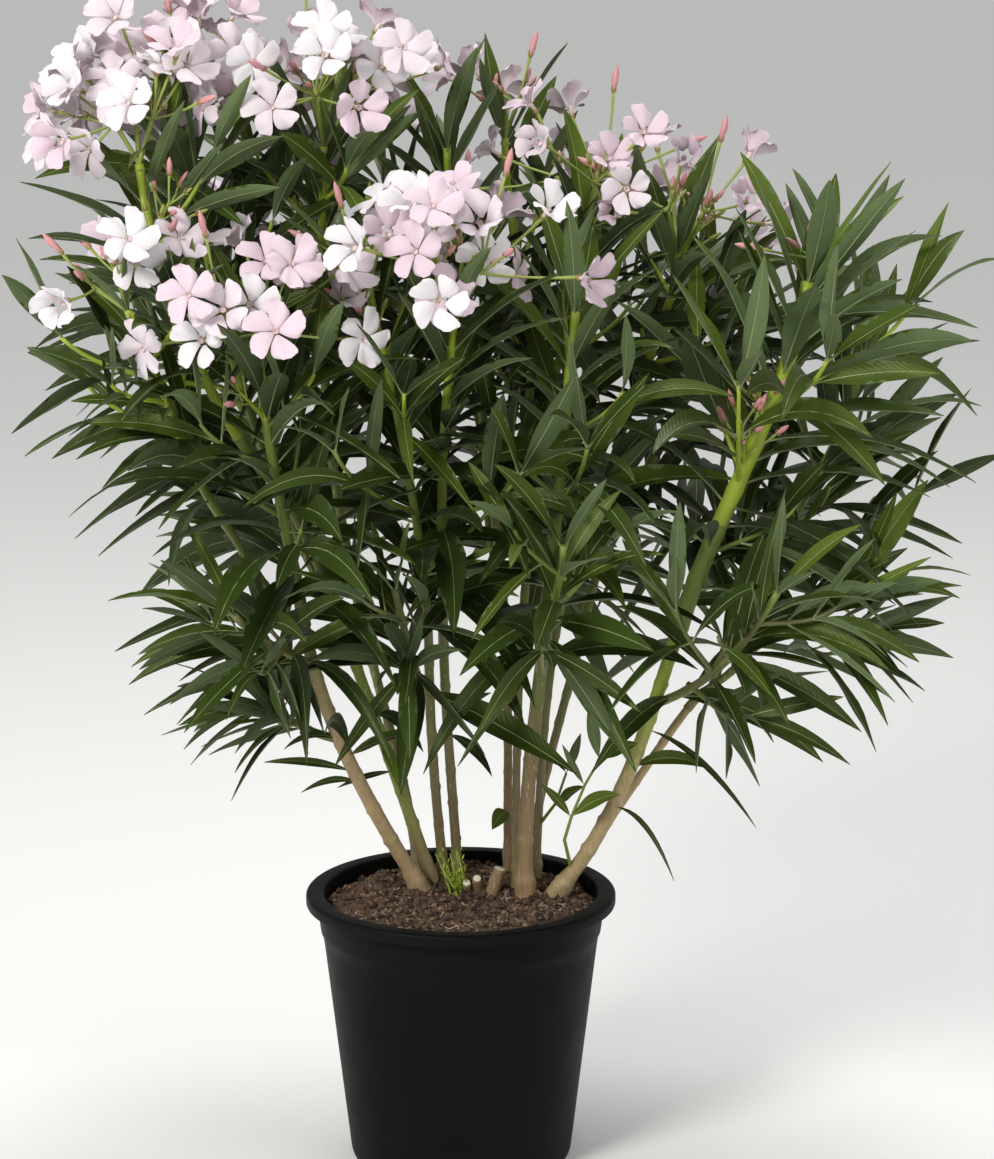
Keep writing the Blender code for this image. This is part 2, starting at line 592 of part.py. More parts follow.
def grow_mass(mass, parent, siblings):
    """Everything in one mass: its main axis, side twigs, leaves, flowers and buds."""
    rng = random.Random(mass.name)
    curve, normal = grow_on(parent, mass, AXIS_RADIUS, siblings)
    count = segments_for(curve)
    radii = tapered(AXIS_RADIUS, AXIS_TIP_RADIUS, count)
    axis = Limb(along(curve, count), radii, AXIS_SIDES, normal, None)
    step = (LAST_WHORL - FIRST_WHORL) / (mass.whorls - 1)
    shares = [FIRST_WHORL + step * k for k in range(mass.whorls)]
    leaves = whorls(curve, shares, mass.leaf, rng, 0.5 * AXIS_TIP_RADIUS,
                    (WIDE_PITCH, STEEP_PITCH))
    twigs = []
    length = (curve(1.0) - curve(0.0)).length
    for k in range(mass.twigs):
        share = FIRST_SIDE + SIDE_STEP * k
        point, direction = curve(share), heading_at(curve, share)
        reference = square_to(direction, Vector((1.0, 0.0, 0.0)))
        radial = Matrix.Rotation(mass.turn + k * GOLDEN_TURN, 3, direction) @ reference
        leaving = (direction * 0.62 + radial * 0.78).normalized()
        end = point + (leaving * SIDE_LENGTH + Vector((0.0, 0.0, SIDE_RISE))) * length
        twig = arc(point, leaving, end, (leaving + Vector((0.0, 0.0, 0.8))))
        twigs.append(Limb([twig(0.0), twig(0.30), twig(0.65), twig(1.0)],
                          tapered(TWIG_RADIUS, TWIG_TIP_RADIUS, 3), TWIG_SIDES, None, None))
        leaves += whorls(twig, SIDE_WHORLS, mass.leaf * SIDE_LEAF, rng,
                         0.4 * TWIG_TIP_RADIUS, SIDE_PITCHES)
    head, flowers, buds = flower_head(curve(1.0), heading_at(curve, 1.0), mass, rng)
    return axis, twigs + head, leaves, flowers, buds


def leaf_solid(leaf, margin=0.0, bare=0.0):
    """A leaf as a closed solid: a flat upper side over a keel, narrowing to both ends.
    margin swells it on all sides, and bare leaves off a share of its root."""
    down = Vector((0.0, 0.0, -1.0))

    def middle(share):
        return leaf.root + (leaf.heading * share + down * (0.5 * leaf.droop * share ** 2)) \
            * leaf.length

    shares = LONG_SHARES if leaf.length > LONG_LEAF else SHORT_SHARES
    verts = [middle(bare)]
    for share, fullness in shares:
        direction = (leaf.heading + down * leaf.droop * share).normalized()
        across = square_to(direction, leaf.across)
        below = across.cross(direction)
        if below.z > 0.0:
            across, below = -across, -below
        half = 0.5 * leaf.width * fullness + margin
        keel = LEAF_KEEL * leaf.length * fullness
        centre = middle(share)
        verts.append(centre + across * half - below * margin)
        verts.append(centre - across * half - below * margin)
        verts.append(centre + below * (keel + margin))
    verts.append(middle(1.0) + leaf.heading * margin)
    return verts, spindle_faces(len(shares), 3)


def spindle_faces(rings, sides):
    """Faces of a body with a point at each end and rings of corners between."""
    last = 1 + rings * sides
    faces = []
    for side in range(sides):
        following = (side + 1) % sides
        faces.append((0, 1 + following, 1 + side))
        for ring in range(rings - 1):
            low, high = 1 + ring * sides, 1 + (ring + 1) * sides
            faces.append((low + side, low + following, high + following))
            faces.append((low + side, high + following, high + side))
        top = last - sides
        faces.append((last, top + side, top + following))
    return faces


def stalk_ring(root, base, radius):
    """Three corners round the top of a straight stalk."""
    direction = (base - root).normalized()
    reference = square_to(direction, Vector((0.2, 0.1, 1.0)))
    other = direction.cross(reference)
    turns = [2.0 * math.pi * k / 3.0 for k in range(3)]
    return [base + (reference * math.cos(t) + other * math.sin(t)) * radius for t in turns]


def flower_solid(flower, margin=0.0, bare=0.0):
    """A flower on its stalk as a closed solid: a five-pointed funnel with a dished face."""
    verts = [flower.root.lerp(flower.base, bare)]
    verts += stalk_ring(flower.root, flower.base, STALK_RADIUS + margin)
    facing = flower.facing
    reference = square_to(facing, verts[1] - flower.base)
    other = facing.cross(reference)
    face = flower.base + facing * (FLOWER_DEPTH + margin)
    for k in range(PETAL_CORNERS):
        angle = flower.spin + 2.0 * math.pi * k / PETAL_CORNERS
        at_tip = k % 2 == 0
        reach = FLOWER_RADIUS * (1.0 if at_tip else FLOWER_NOTCH) + margin
        lift = 0.0 if at_tip else -FLOWER_DISH
        verts.append(face + (reference * math.cos(angle) + other * math.sin(angle)) * reach
                     + facing * lift)
    verts.append(face - facing * 2.0 * FLOWER_DISH)
    return verts, flower_faces()


def flower_faces():
    """Stalk, funnel and face of a flower: a root, a ring of 3, the petals' rim and a middle."""
    rim, middle = 4, 4 + PETAL_CORNERS
    faces = [(0, 2, 1), (0, 3, 2), (0, 1, 3)]
    for k in range(PETAL_CORNERS):
        following = (k + 1) % PETAL_CORNERS
        near = 1 + k * 3 // PETAL_CORNERS
        next_near = 1 + following * 3 // PETAL_CORNERS
        faces.append((near, rim + following, rim + k))
        if next_near != near:
            faces.append((near, next_near, rim + following))
        faces.append((middle, rim + k, rim + following))
    return faces


def bud_solid(bud, margin=0.0, bare=0.0):
    """A bud on its stalk as a slim closed solid."""
    direction = (bud.base - bud.root).normalized()
    middle = bud.base + direction * BUD_LENGTH * 0.45
    verts = [bud.root.lerp(bud.base, bare)]
    verts += stalk_ring(bud.root, bud.base, STALK_RADIUS + margin)
    verts += stalk_ring(bud.base, middle, BUD_RADIUS + margin)
    verts.append(bud.base + direction * (BUD_LENGTH + margin))
    return verts, spindle_faces(2, 3)


class Space:
    """What is taken already: the box and the faces of each piece, and whose it is."""

    def __init__(self):
        self.taken = []

    def add(self, owner, verts, faces):
        tree = BVHTree.FromPolygons([tuple(v) for v in verts], faces)
        self.taken.append((owner, *box_of(verts), tree))

    def free(self, verts, faces, but=None):
        """Whether a body touches nothing that is taken, leaving out one owner's pieces."""
        low, high = box_of(verts)
        tree = None
        for owner, other_low, other_high, other in self.taken:
            if owner == but or apart(low, high, other_low, other_high):
                continue
            tree = tree or BVHTree.FromPolygons([tuple(v) for v in verts], faces)
            if tree.overlap(other):
                return False
        return True


def box_of(verts):
    low = tuple(min(v[k] for v in verts) for k in range(3))
    high = tuple(max(v[k] for v in verts) for k in range(3))
    return low, high


def apart(low, high, other_low, other_high):
    return any(low[k] > other_high[k] or high[k] < other_low[k] for k in range(3))


def in_crown(point):
    """Whether a leaf's tip stays within the crown's reach and over its skirt."""
    offset = point - CROWN_CENTRE
    share = sum(abs(offset[k] / CROWN_RADII[k]) ** CROWN_SQUARENESS for k in range(3))
    return share < 1.0 and point.z > SKIRT + SKIRT_RISE * max(0.0, -point.y)


def swung(piece, angle):
    """The same leaf, flower or bud, swung sideways about its root."""
    swing = Matrix.Rotation(angle, 3, Vector((0.0, 0.0, 1.0)))
    if isinstance(piece, Leaf):
        return piece._replace(heading=swing @ piece.heading, across=swing @ piece.across)
    base = piece.root + swing @ (piece.base - piece.root)
    if isinstance(piece, Bud):
        return piece._replace(base=base)
    return piece._replace(base=base, facing=swing @ piece.facing)


def place(piece, solid_of, name, space, rng):
    """Adds a leaf, flower or bud where it has room, after a few swings to either side.
    Returns its solid, or None where it would touch something or leave the crown."""
    for attempt in range(TRIES):
        tried = swung(piece, 0.0 if attempt == 0 else rng.uniform(-SWING, SWING))
        outer = solid_of(tried, CLEARANCE, ROOT_CLEAR)
        whole = solid_of(tried)
        inside = in_crown(outer[0][-1]) or not isinstance(piece, Leaf)
        if inside and space.free(*outer) and space.free(*whole, name):
            space.add(name, *whole)
            return whole
    return None


def joined(name, axis, parts):
    """One solid from a mass's axis and everything that grows on it, by one Boolean union on a
    collection. Where the first solver leaves an open edge, the second one does it."""
    made = add_object(name, *tube(axis))
    group = bpy.data.collections.new(name + "_parts")
    bpy.context.scene.collection.children.link(group)
    for k, (verts, faces) in enumerate(parts):
        add_object(f"{name}_part_{k}", verts, faces, group)
    union = made.modifiers.new("Union", "BOOLEAN")
    union.operation = "UNION"
    union.operand_type = "COLLECTION"
    union.collection = group
    for solver in ("EXACT", "MANIFOLD"):
        union.solver = solver
        graph = bpy.context.evaluated_depsgraph_get()
        fused = bpy.data.meshes.new_from_object(made.evaluated_get(graph))
        if largest_body(fused):
            break
    made.modifiers.remove(union)
    made.data = fused
    for helper in list(group.objects):
        bpy.data.objects.remove(helper)
    bpy.data.collections.remove(group)
    return made


def largest_body(mesh):
    """Keeps a mesh's largest connected body. Returns whether every edge of it has two faces."""
    shape = bmesh.new()
    shape.from_mesh(mesh)
    left = set(shape.faces)
    bodies = []
    while left:
        seed = left.pop()
        body, edge = [seed], [seed]
        while edge:
            near = {face for link in edge.pop().edges for face in link.link_faces}
            near &= left
            left -= near
            body += near
            edge += near
        bodies.append(body)
    bodies.sort(key=len)
    scraps = [face for body in bodies[:-1] for face in body]
    bmesh.ops.delete(shape, geom=scraps, context="FACES")
    closed = all(edge.is_manifold for edge in shape.edges)
    shape.to_mesh(mesh)
    shape.free()
    return closed


def build():
    for old in list(bpy.data.objects):
        bpy.data.objects.remove(old)
    space = Space()
    for solid in (pot(), soil()):
        mesh = solid.data
        space.add(solid.name, [v.co for v in mesh.vertices],
                  [tuple(p.vertices) for p in mesh.polygons])
    limbs = {}
    for cane in CANES:
        curve, limb = grow_cane(cane)
        solid = tube(limb)
        limbs[cane.name] = parent_of(curve, solid)
        space.add(cane.name, *solid)
        finish(add_object(cane.name, *solid), CANE_COLOUR, 0.75)
    on_tip = {}
    for child in BOUGHS + MASSES:
        if child.share >= 1.0:
            on_tip[child.parent] = on_tip.get(child.parent, 0) + 1
    for bough in BOUGHS:
        siblings = on_tip.get(bough.parent, 0)
        curve, normal = grow_on(limbs[bough.parent], bough, bough.radius, siblings)
        count = segments_for(curve)
        radii = tapered(bough.radius, bough.tip_radius, count)
        limb = Limb(along(curve, count), radii, BOUGH_SIDES, normal, heading_at(curve, 1.0))
        solid = tube(limb)
        limbs[bough.name] = parent_of(curve, solid)
        space.add(bough.name, *solid)
        finish(add_object(bough.name, *solid), BOUGH_COLOUR, 0.65)
    grown = {}
    for mass in MASSES:
        grown[mass.name] = grow_mass(mass, limbs[mass.parent], on_tip.get(mass.parent, 0))
        space.add(mass.name, *tube(grown[mass.name][0]))
    parts = {mass.name: [] for mass in MASSES}
    for mass in MASSES:
        for twig in grown[mass.name][1]:
            solid = tube(twig)
            if space.free(*solid, mass.name):
                space.add(mass.name, *solid)
                parts[mass.name].append(solid)
    for kind, solid_of in ((3, flower_solid), (4, bud_solid), (2, leaf_solid)):
        for mass in MASSES:
            rng = random.Random(f"{mass.name} {kind}")
            placed = [place(piece, solid_of, mass.name, space, rng)
                      for piece in grown[mass.name][kind]]
            parts[mass.name] += [solid for solid in placed if solid]
    for mass in MASSES:
        made = joined(mass.name, grown[mass.name][0], parts[mass.name])
        finish(made, FOLIAGE_COLOUR, 0.55)


build()
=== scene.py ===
"""The looks of a potted oleander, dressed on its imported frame.

Metres, +Z up, -Y towards the front. The shrub is grown again by the rule of its solids: arcs
for canes, boughs and shoots, whorls of three leaves, and flower heads on three short branches.
Here it is carried on to more whorls and finer twigs within the same reach. Leaves are blades
of a few faces with a raised midrib, and flowers have five oblique petals over a funnel.
"""

import json
import math
import random
from collections import Counter, namedtuple

import bmesh
import bpy
from mathutils import Matrix, Vector, noise
from mathutils.bvhtree import BVHTree

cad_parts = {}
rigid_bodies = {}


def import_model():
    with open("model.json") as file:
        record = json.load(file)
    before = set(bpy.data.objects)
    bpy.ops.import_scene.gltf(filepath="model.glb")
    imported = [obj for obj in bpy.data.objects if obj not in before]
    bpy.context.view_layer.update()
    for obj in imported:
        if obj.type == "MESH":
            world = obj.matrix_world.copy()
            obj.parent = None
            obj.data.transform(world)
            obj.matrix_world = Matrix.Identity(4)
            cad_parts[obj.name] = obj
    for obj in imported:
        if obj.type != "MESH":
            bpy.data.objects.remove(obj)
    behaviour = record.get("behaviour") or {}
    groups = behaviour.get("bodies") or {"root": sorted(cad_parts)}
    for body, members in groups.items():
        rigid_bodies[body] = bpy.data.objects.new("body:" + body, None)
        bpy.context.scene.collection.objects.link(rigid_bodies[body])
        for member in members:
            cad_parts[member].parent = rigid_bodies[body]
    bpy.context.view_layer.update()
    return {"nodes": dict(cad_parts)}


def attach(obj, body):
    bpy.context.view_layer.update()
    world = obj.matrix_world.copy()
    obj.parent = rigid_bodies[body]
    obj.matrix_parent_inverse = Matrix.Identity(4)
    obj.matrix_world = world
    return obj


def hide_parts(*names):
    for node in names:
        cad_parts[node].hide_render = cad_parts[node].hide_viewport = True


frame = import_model()


# --- Pot: a turned plastic pot with a broad rolled lip ---
POT_HEIGHT = 0.212
LIP_RADIUS = 0.120
LIP_THICKNESS = 0.0095
LIP_ROUND = 0.0030
MOUTH_RADIUS = 0.1060
BODY_TOP_RADIUS = 0.1070
BODY_FOOT_RADIUS = 0.0865
COLLAR_STEP = 0.0016
COLLAR_BOTTOM = 0.1800
FOOT_RADIUS = 0.0850
FOOT_HEIGHT = 0.0070
INNER_FOOT_RADIUS = 0.0843
FLOOR_TOP = 0.0065
RECESS_HEIGHT = 0.0030
PAD_RADIUS = 0.0300
RECESS_OUTER_RADIUS = 0.0770
DRAIN_HOLES = 6
DRAIN_RADIUS = 0.0055
DRAIN_CIRCLE = 0.0600
NOTCH_RADIUS = 0.00275
NOTCH_LENGTH = 0.030

# --- Soil: fills the pot to just under its lip ---
SOIL_LEVEL = 0.2050
SOIL_EDGE_LEVEL = 0.1990

# --- Fits and facets ---
GAP = 0.0003
TIP_SHARING = 1.15
SEAT_OUTWARD, SEAT_ONWARD = 0.75, 0.65
CANE_SIDES = 6
BOUGH_SIDES = 6
AXIS_SIDES = 4
TWIG_SIDES = 3
SEGMENT = 0.055

# --- Leaves and flowers ---
LEAVES_PER_WHORL = 3
GOLDEN_TURN = math.radians(137.5)
LEAF_WIDTH = 0.185
LEAF_KEEL = 0.018
LONG_LEAF = 0.158
LONG_SHARES = ((0.26, 0.86), (0.64, 0.84))
SHORT_SHARES = ((0.42, 1.0),)
ROOT_CLEAR = 0.16
SWING = 0.5
CLEARANCE = 0.0012
TRIES = 5
FLOWER_RADIUS = 0.0235
FLOWER_DEPTH = 0.0150
FLOWER_NOTCH = 0.52
FLOWER_DISH = 0.0022
FLOWER_LOOK = Vector((0.0, -0.40, 0.10))
PETAL_CORNERS = 10
BUD_LENGTH = 0.020
BUD_RADIUS = 0.0028
STALK_RADIUS = 0.0012
BRANCH_RADIUS = 0.0018
BRANCH_LEAN = 0.50
BRANCH_SINK = 0.0060
FORK_SINK = 0.0030
AXIS_RADIUS = 0.0036
AXIS_TIP_RADIUS = 0.0024
TWIG_RADIUS = 0.0024
TWIG_TIP_RADIUS = 0.0018
FIRST_WHORL, LAST_WHORL = 0.10, 0.98
WIDE_PITCH, STEEP_PITCH = 82.0, 26.0
LEVEL_BEYOND, LOWEST_HEADING = 0.090, -0.24
OUTER_DROOP, INNER_DROOP = 0.26, 0.42
SIDE_PITCHES = (66.0, 28.0)
SIDE_WHORLS = (0.55, 0.98)
SIDE_LEAF = 0.85
FIRST_SIDE, SIDE_STEP = 0.42, 0.25
SIDE_ONWARD, SIDE_OUTWARD, SIDE_LENGTH, SIDE_RISE = 0.62, 0.78, 0.40, 0.06
HEAD_SIZE, HEAD_GROWTH, HEAD_POWER = 0.034, 0.0060, 0.85
HEAD_BRANCH, HEAD_MIDDLE, HEAD_REACH, HEAD_SPREAD = 0.62, 0.30, 1.30, 0.14
HEAD_POLAR = math.radians(88.0)
FLOWER_SPIN = 0.45

# --- The crown's reach: an upright, slightly squared ellipsoid over a skirt clear of the pot ---
CROWN_CENTRE = Vector((0.030, 0.000, 0.595))
CROWN_RADII = Vector((0.395, 0.325, 0.325))
CROWN_SQUARENESS = 2.6
SKIRT = 0.290
SKIRT_RISE = 0.22

Cane = namedtuple("Cane", "name foot lean tip tip_lean radius tip_radius flare")
Bough = namedtuple("Bough", "name parent share tip lean radius tip_radius")
Mass = namedtuple("Mass", "name parent share tip lean whorls leaf flowers buds twigs turn")
Limb = namedtuple("Limb", "path radii sides seat tip")
Leaf = namedtuple("Leaf", "root heading across length width droop")
Flower = namedtuple("Flower", "root base facing spin")
Bud = namedtuple("Bud", "root base")
Shoot = namedtuple("Shoot", "curve axis twigs leaves flowers buds side_curves")

CANES = [Cane(*row) for row in (
    ("cane_left_front", (-0.031, 0.023), (-0.55, -0.25), (-0.118, -0.038, 0.435),
     (-0.14, -0.2), 0.0064, 0.0046, 0.25),
    ("cane_left", (-0.0225, 0.0395), (-0.3, -0.1), (-0.098, 0.014, 0.44),
     (-0.32, -0.05), 0.0052, 0.0041, 0.15),
    ("cane_left_rear", (-0.034, 0.06), (-0.1, 0.25), (-0.086, 0.12, 0.43),
     (-0.2, 0.2), 0.0042, 0.0037, 0.15),
    ("cane_middle_left", (-0.0135, 0.051), (-0.1, -0.1), (-0.024, -0.002, 0.395),
     (0.0, -0.35), 0.0041, 0.0037, 0.15),
    ("cane_middle_right", (-0.0025, 0.053), (-0.06, -0.1), (-0.013, 0.014, 0.4),
     (-0.02, -0.35), 0.0041, 0.0037, 0.15),
    ("cane_centre", (0.05, -0.001), (-0.04, 0.0), (0.0635, -0.015, 0.412),
     (0.1, -0.12), 0.0066, 0.0048, 0.14),
    ("cane_centre_thin", (0.0425, 0.02), (0.0, 0.03), (0.046, 0.026, 0.39),
     (0.05, 0.05), 0.0034, 0.0031, 0.15),
    ("cane_centre_rear", (0.037, 0.072), (-0.02, 0.1), (0.035, 0.098, 0.39),
     (-0.05, 0.15), 0.0037, 0.0033, 0.2),
    ("cane_centre_back", (0.059, 0.048), (0.02, 0.05), (0.074, 0.068, 0.4),
     (0.15, 0.15), 0.0036, 0.0032, 0.2),
    ("cane_right", (0.0715, 0.004), (0.85, -0.05), (0.167, -0.025, 0.43),
     (0.3, -0.08), 0.0064, 0.0049, 0.14),
    ("cane_right_thin", (0.074, 0.03), (0.9, 0.0), (0.178, 0.036, 0.35), (0.75, 0.05), 0.0036, 0.0032, 0.15),
    ("cane_right_rear", (0.052, 0.068), (0.12, 0.15), (0.1, 0.12, 0.41), (0.2, 0.15), 0.0038, 0.0034, 0.2),
    ("stub_tall", (0.024, 0.014), (0.3, 0.0), (0.0305, 0.014, 0.2245), (0.3, 0.0), 0.0056, 0.005, 0.1),
    ("stub_low_left", (0.0035, 0.01), (0.05, -0.4), (0.0045, 0.003, 0.2165),
     (0.1, -0.75), 0.0034, 0.0031, 0.1),
    ("stub_low_right", (0.0115, 0.013), (0.05, -0.4), (0.0125, 0.005, 0.2195),
     (0.1, -0.75), 0.0036, 0.0033, 0.1),
)]

BOUGHS = [Bough(*row) for row in (
    ("bough_left", "cane_left", 1.0, (-0.15, 0.012, 0.56), (-0.38, 0.02), 0.0044, 0.0038),
    ("bough_left_side", "cane_left", 0.8, (-0.178, -0.03, 0.51), (-0.6, -0.35), 0.0036, 0.0032),
    ("bough_left_rear", "cane_left_rear", 1.0, (-0.106, 0.104, 0.59), (-0.02, -0.25), 0.0038, 0.0034),
    ("bough_back_left", "cane_left_rear", 0.82, (-0.15, 0.175, 0.5), (-0.4, 0.35), 0.0036, 0.0032),
    ("bough_centre", "cane_centre_thin", 1.0, (0.06, 0.036, 0.545), (0.12, 0.05), 0.0034, 0.003),
    ("bough_centre_rear", "cane_centre_rear", 1.0, (0.018, 0.09, 0.56), (-0.1, -0.1), 0.0036, 0.0032),
    ("bough_back", "cane_centre_rear", 0.8, (0.02, 0.18, 0.48), (-0.05, 0.55), 0.0034, 0.003),
    ("bough_centre_back", "cane_centre_back", 1.0, (0.122, 0.076, 0.55), (0.3, 0.0), 0.0033, 0.003),
    ("bough_right_rear", "cane_right_rear", 1.0, (0.15, 0.15, 0.52), (0.35, 0.2), 0.0036, 0.0032),
    ("bough_right_thin", "cane_right_thin", 1.0, (0.215, 0.03, 0.385), (0.7, -0.1), 0.0034, 0.003),
)]

MASSES = [Mass("mass_" + name, *rest) for name, *rest in (
    ("left_front", "cane_left_front", 1.0, (-0.145, -0.086, 0.632), (-0.08, -0.15), 6, 0.16, 8, 2, 1, 2.9),
    ("left_low", "cane_left_front", 0.86, (-0.165, -0.11, 0.455), (-0.8, -0.4), 3, 0.125, 0, 0, 0, 0.0),
    ("left_foot", "cane_left_front", 0.6, (-0.15, -0.022, 0.372), (-0.8, -0.1), 3, 0.105, 0, 0, 0, 0.0),
    ("left_top", "bough_left", 1.0, (-0.205, 0.022, 0.79), (-0.15, 0.0), 6, 0.15, 9, 3, 1, 1.2),
    ("left_outer", "bough_left", 0.7, (-0.234, -0.046, 0.78), (-0.1, 0.05), 6, 0.145, 6, 3, 1, 3.4),
    ("left_side", "bough_left_side", 1.0, (-0.24, -0.1, 0.68), (-0.5, -0.1), 4, 0.098, 3, 2, 1, 3.0),
    ("middle_left", "cane_middle_left", 1.0, (-0.066, -0.062, 0.69), (-0.22, 0.0), 7, 0.145, 2, 5, 1, 4.2),
    ("middle_low", "cane_middle_left", 0.86, (-0.048, -0.085, 0.47), (-0.2, -0.4), 3, 0.125, 0, 0, 0, 0.0),
    ("middle", "cane_middle_right", 1.0, (-0.003, -0.086, 0.672), (0.12, -0.08), 7, 0.145, 9, 2, 1, 5.4),
    ("centre", "cane_centre", 1.0, (0.086, -0.056, 0.672), (0.1, -0.05), 7, 0.15, 0, 0, 1, 4.9),
    ("centre_low", "cane_centre", 0.9, (0.076, -0.145, 0.515), (0.05, -0.3), 4, 0.13, 0, 0, 0, 0.0),
    ("centre_top", "bough_centre", 1.0, (0.094, 0.05, 0.722), (0.05, -0.05), 5, 0.135, 8, 2, 1, 0.6),
    ("top_leafy", "bough_centre_rear", 1.0, (-0.01, 0.06, 0.78), (0.0, 0.0), 6, 0.145, 0, 0, 1, 2.2),
    ("top_bloom", "bough_centre_rear", 0.72, (0.034, 0.09, 0.785), (0.0, -0.15), 5, 0.13, 3, 1, 0, 0.4),
    ("upper_left", "bough_left_rear", 1.0, (-0.102, 0.028, 0.785), (0.05, -0.05), 6, 0.145, 10, 2, 1, 2.0),
    ("back_left", "bough_back_left", 1.0, (-0.218, 0.172, 0.67), (-0.2, 0.1), 5, 0.15, 4, 1, 1, 2.4),
    ("back_left_low", "bough_back_left", 0.6, (-0.165, 0.215, 0.48), (-0.4, 0.6), 4, 0.14, 0, 0, 1, 1.6),
    ("back", "bough_back", 1.0, (0.0, 0.205, 0.67), (-0.05, 0.1), 6, 0.15, 4, 1, 1, 1.0),
    ("back_low", "bough_back", 0.55, (0.08, 0.222, 0.46), (0.3, 0.6), 4, 0.135, 0, 0, 1, 1.0),
    ("back_top", "bough_left_rear", 0.6, (-0.105, 0.17, 0.74), (0.0, 0.1), 5, 0.14, 4, 1, 0, 1.0),
    ("right_top", "bough_centre_back", 1.0, (0.166, 0.06, 0.7), (0.08, 0.0), 5, 0.145, 7, 2, 1, 5.8),
    ("back_right", "bough_right_rear", 1.0, (0.212, 0.168, 0.64), (0.1, 0.1), 5, 0.15, 4, 1, 1, 0.8),
    ("back_right_low", "bough_right_rear", 0.6, (0.24, 0.175, 0.46), (0.8, 0.4), 4, 0.14, 0, 0, 1, 5.6),
    ("back_right_top", "bough_centre_back", 0.6, (0.115, 0.165, 0.71), (0.05, 0.15), 5, 0.14, 3, 1, 0, 0.0),
    ("right", "cane_right", 1.0, (0.258, -0.04, 0.692), (0.16, 0.0), 8, 0.172, 0, 3, 2, 4.3),
    ("right_front", "cane_right", 0.74, (0.232, -0.135, 0.478), (0.5, -0.4), 4, 0.132, 0, 0, 1, 3.0),
    ("right_outer", "bough_right_thin", 0.55, (0.312, 0.078, 0.622), (0.15, 0.05), 6, 0.155, 0, 0, 1, 0.3),
    ("right_low", "bough_right_thin", 1.0, (0.3, -0.01, 0.452), (0.7, -0.2), 4, 0.14, 0, 0, 1, 5.2),
)]


def inner_radius(height):
    """Inner radius of the pot, a straight taper from the mouth to the floor."""
    share = (height - FLOOR_TOP) / (POT_HEIGHT - LIP_ROUND - FLOOR_TOP)
    return INNER_FOOT_RADIUS + share * (MOUTH_RADIUS - INNER_FOOT_RADIUS)


def wall_radius(height):
    """Outer radius of the pot's body, a straight taper from the collar to the foot."""
    share = (height - FOOT_HEIGHT) / (COLLAR_BOTTOM - FOOT_HEIGHT)
    return BODY_FOOT_RADIUS + share * (BODY_TOP_RADIUS - BODY_FOOT_RADIUS)


def arc(start, leaving, end, arriving):
    """A smooth arc through space as a function of its share from 0 to 1."""
    reach = (end - start).length / 3.0
    first = start + leaving.normalized() * reach
    second = end - arriving.normalized() * reach

    def point(share):
        left = 1.0 - share
        return (start * left ** 3 + first * (3.0 * left * left * share)
                + second * (3.0 * left * share * share) + end * share ** 3)

    return point


def along(curve, count):
    """Evenly shared points on a curve."""
    return [curve(k / count) for k in range(count + 1)]


def heading_at(curve, share):
    """The curve's direction at a share of its length."""
    step = 0.01
    return (curve(min(share + step, 1.0)) - curve(max(share - step, 0.0))).normalized()


def square_to(direction, hint):
    """The part of hint that is square to direction, one unit long."""
    square = hint - direction * hint.dot(direction)
    if square.length < 1e-6:
        square = direction.orthogonal()
    return square.normalized()


def square_pair(direction, hint):
    """Two directions square to a direction and to each other, the first one towards hint."""
    side = square_to(direction, hint)
    return side, direction.cross(side)


def turned(side, other, angle):
    """The direction at an angle from side towards other."""
    return side * math.cos(angle) + other * math.sin(angle)


def round_about(direction, hint, turn):
    """The direction square to another and towards hint, turned round it."""
    return Matrix.Rotation(turn, 3, direction) @ square_to(direction, hint)


def spokes(side, other, count):
    """Directions shared evenly round the circle through side and other."""
    return [turned(side, other, 2.0 * math.pi * s / count) for s in range(count)]


def frames(path, first=0, leaving=None):
    """The path's direction and two directions square to it at each point, without a twist."""
    if leaving is None:
        leaving = (path[1] - path[0]).normalized()
    reference = square_to(leaving, Vector((0.3, -1.0, 0.1)))
    for k in range(first, len(path)):
        before, after = path[max(k - 1, 0)], path[min(k + 1, len(path) - 1)]
        direction = (after - before).normalized()
        reference = square_to(direction, reference)
        yield direction, reference, direction.cross(reference)


def upright(lean):
    """The direction that goes lean sideways for each unit of height."""
    return Vector((lean[0], lean[1], 1.0)).normalized()


def strip(first, last, sides, side):
    """The triangles up one side of a body, from its first ring of corners to its last."""
    faces, following = [], (side + 1) % sides
    for low in range(first, last, sides):
        high = low + sides
        faces += [(low + side, low + following, high + following),
                  (low + side, high + following, high + side)]
    return faces


def tube(limb):
    """The faceted solid of a limb. It starts square to its seat, or from a point where it has
    none, and ends square to its tip."""
    verts, faces = [], []
    path, sides = limb.path, limb.sides
    first = int(limb.seat is None)
    if first:
        verts.append(path[0])
    for k, (direction, side, other) in enumerate(frames(path, first), first):
        normal = {0: limb.seat, len(path) - 1: limb.tip}.get(k)
        for out in spokes(side, other, sides):
            offset = out * limb.radii[k]
            if normal is not None:
                offset -= direction * (offset.dot(normal) / direction.dot(normal))
            verts.append(path[k] + offset)
    for side in range(sides):
        if first:
            faces.append((0, 1 + (side + 1) % sides, 1 + side))
        faces += strip(first, len(verts) - sides, sides, side)
    if not first:
        faces.append(tuple(reversed(range(sides))))
    faces.append(tuple(range(len(verts) - sides, len(verts))))
    return verts, faces


def tapered(start_radius, end_radius, count):
    """Radii from one end of a limb to the other."""
    return [start_radius + (end_radius - start_radius) * k / count for k in range(count + 1)]


def segments_for(curve):
    """How many straight runs a limb needs."""
    return max(2, round((curve(1.0) - curve(0.0)).length / SEGMENT))


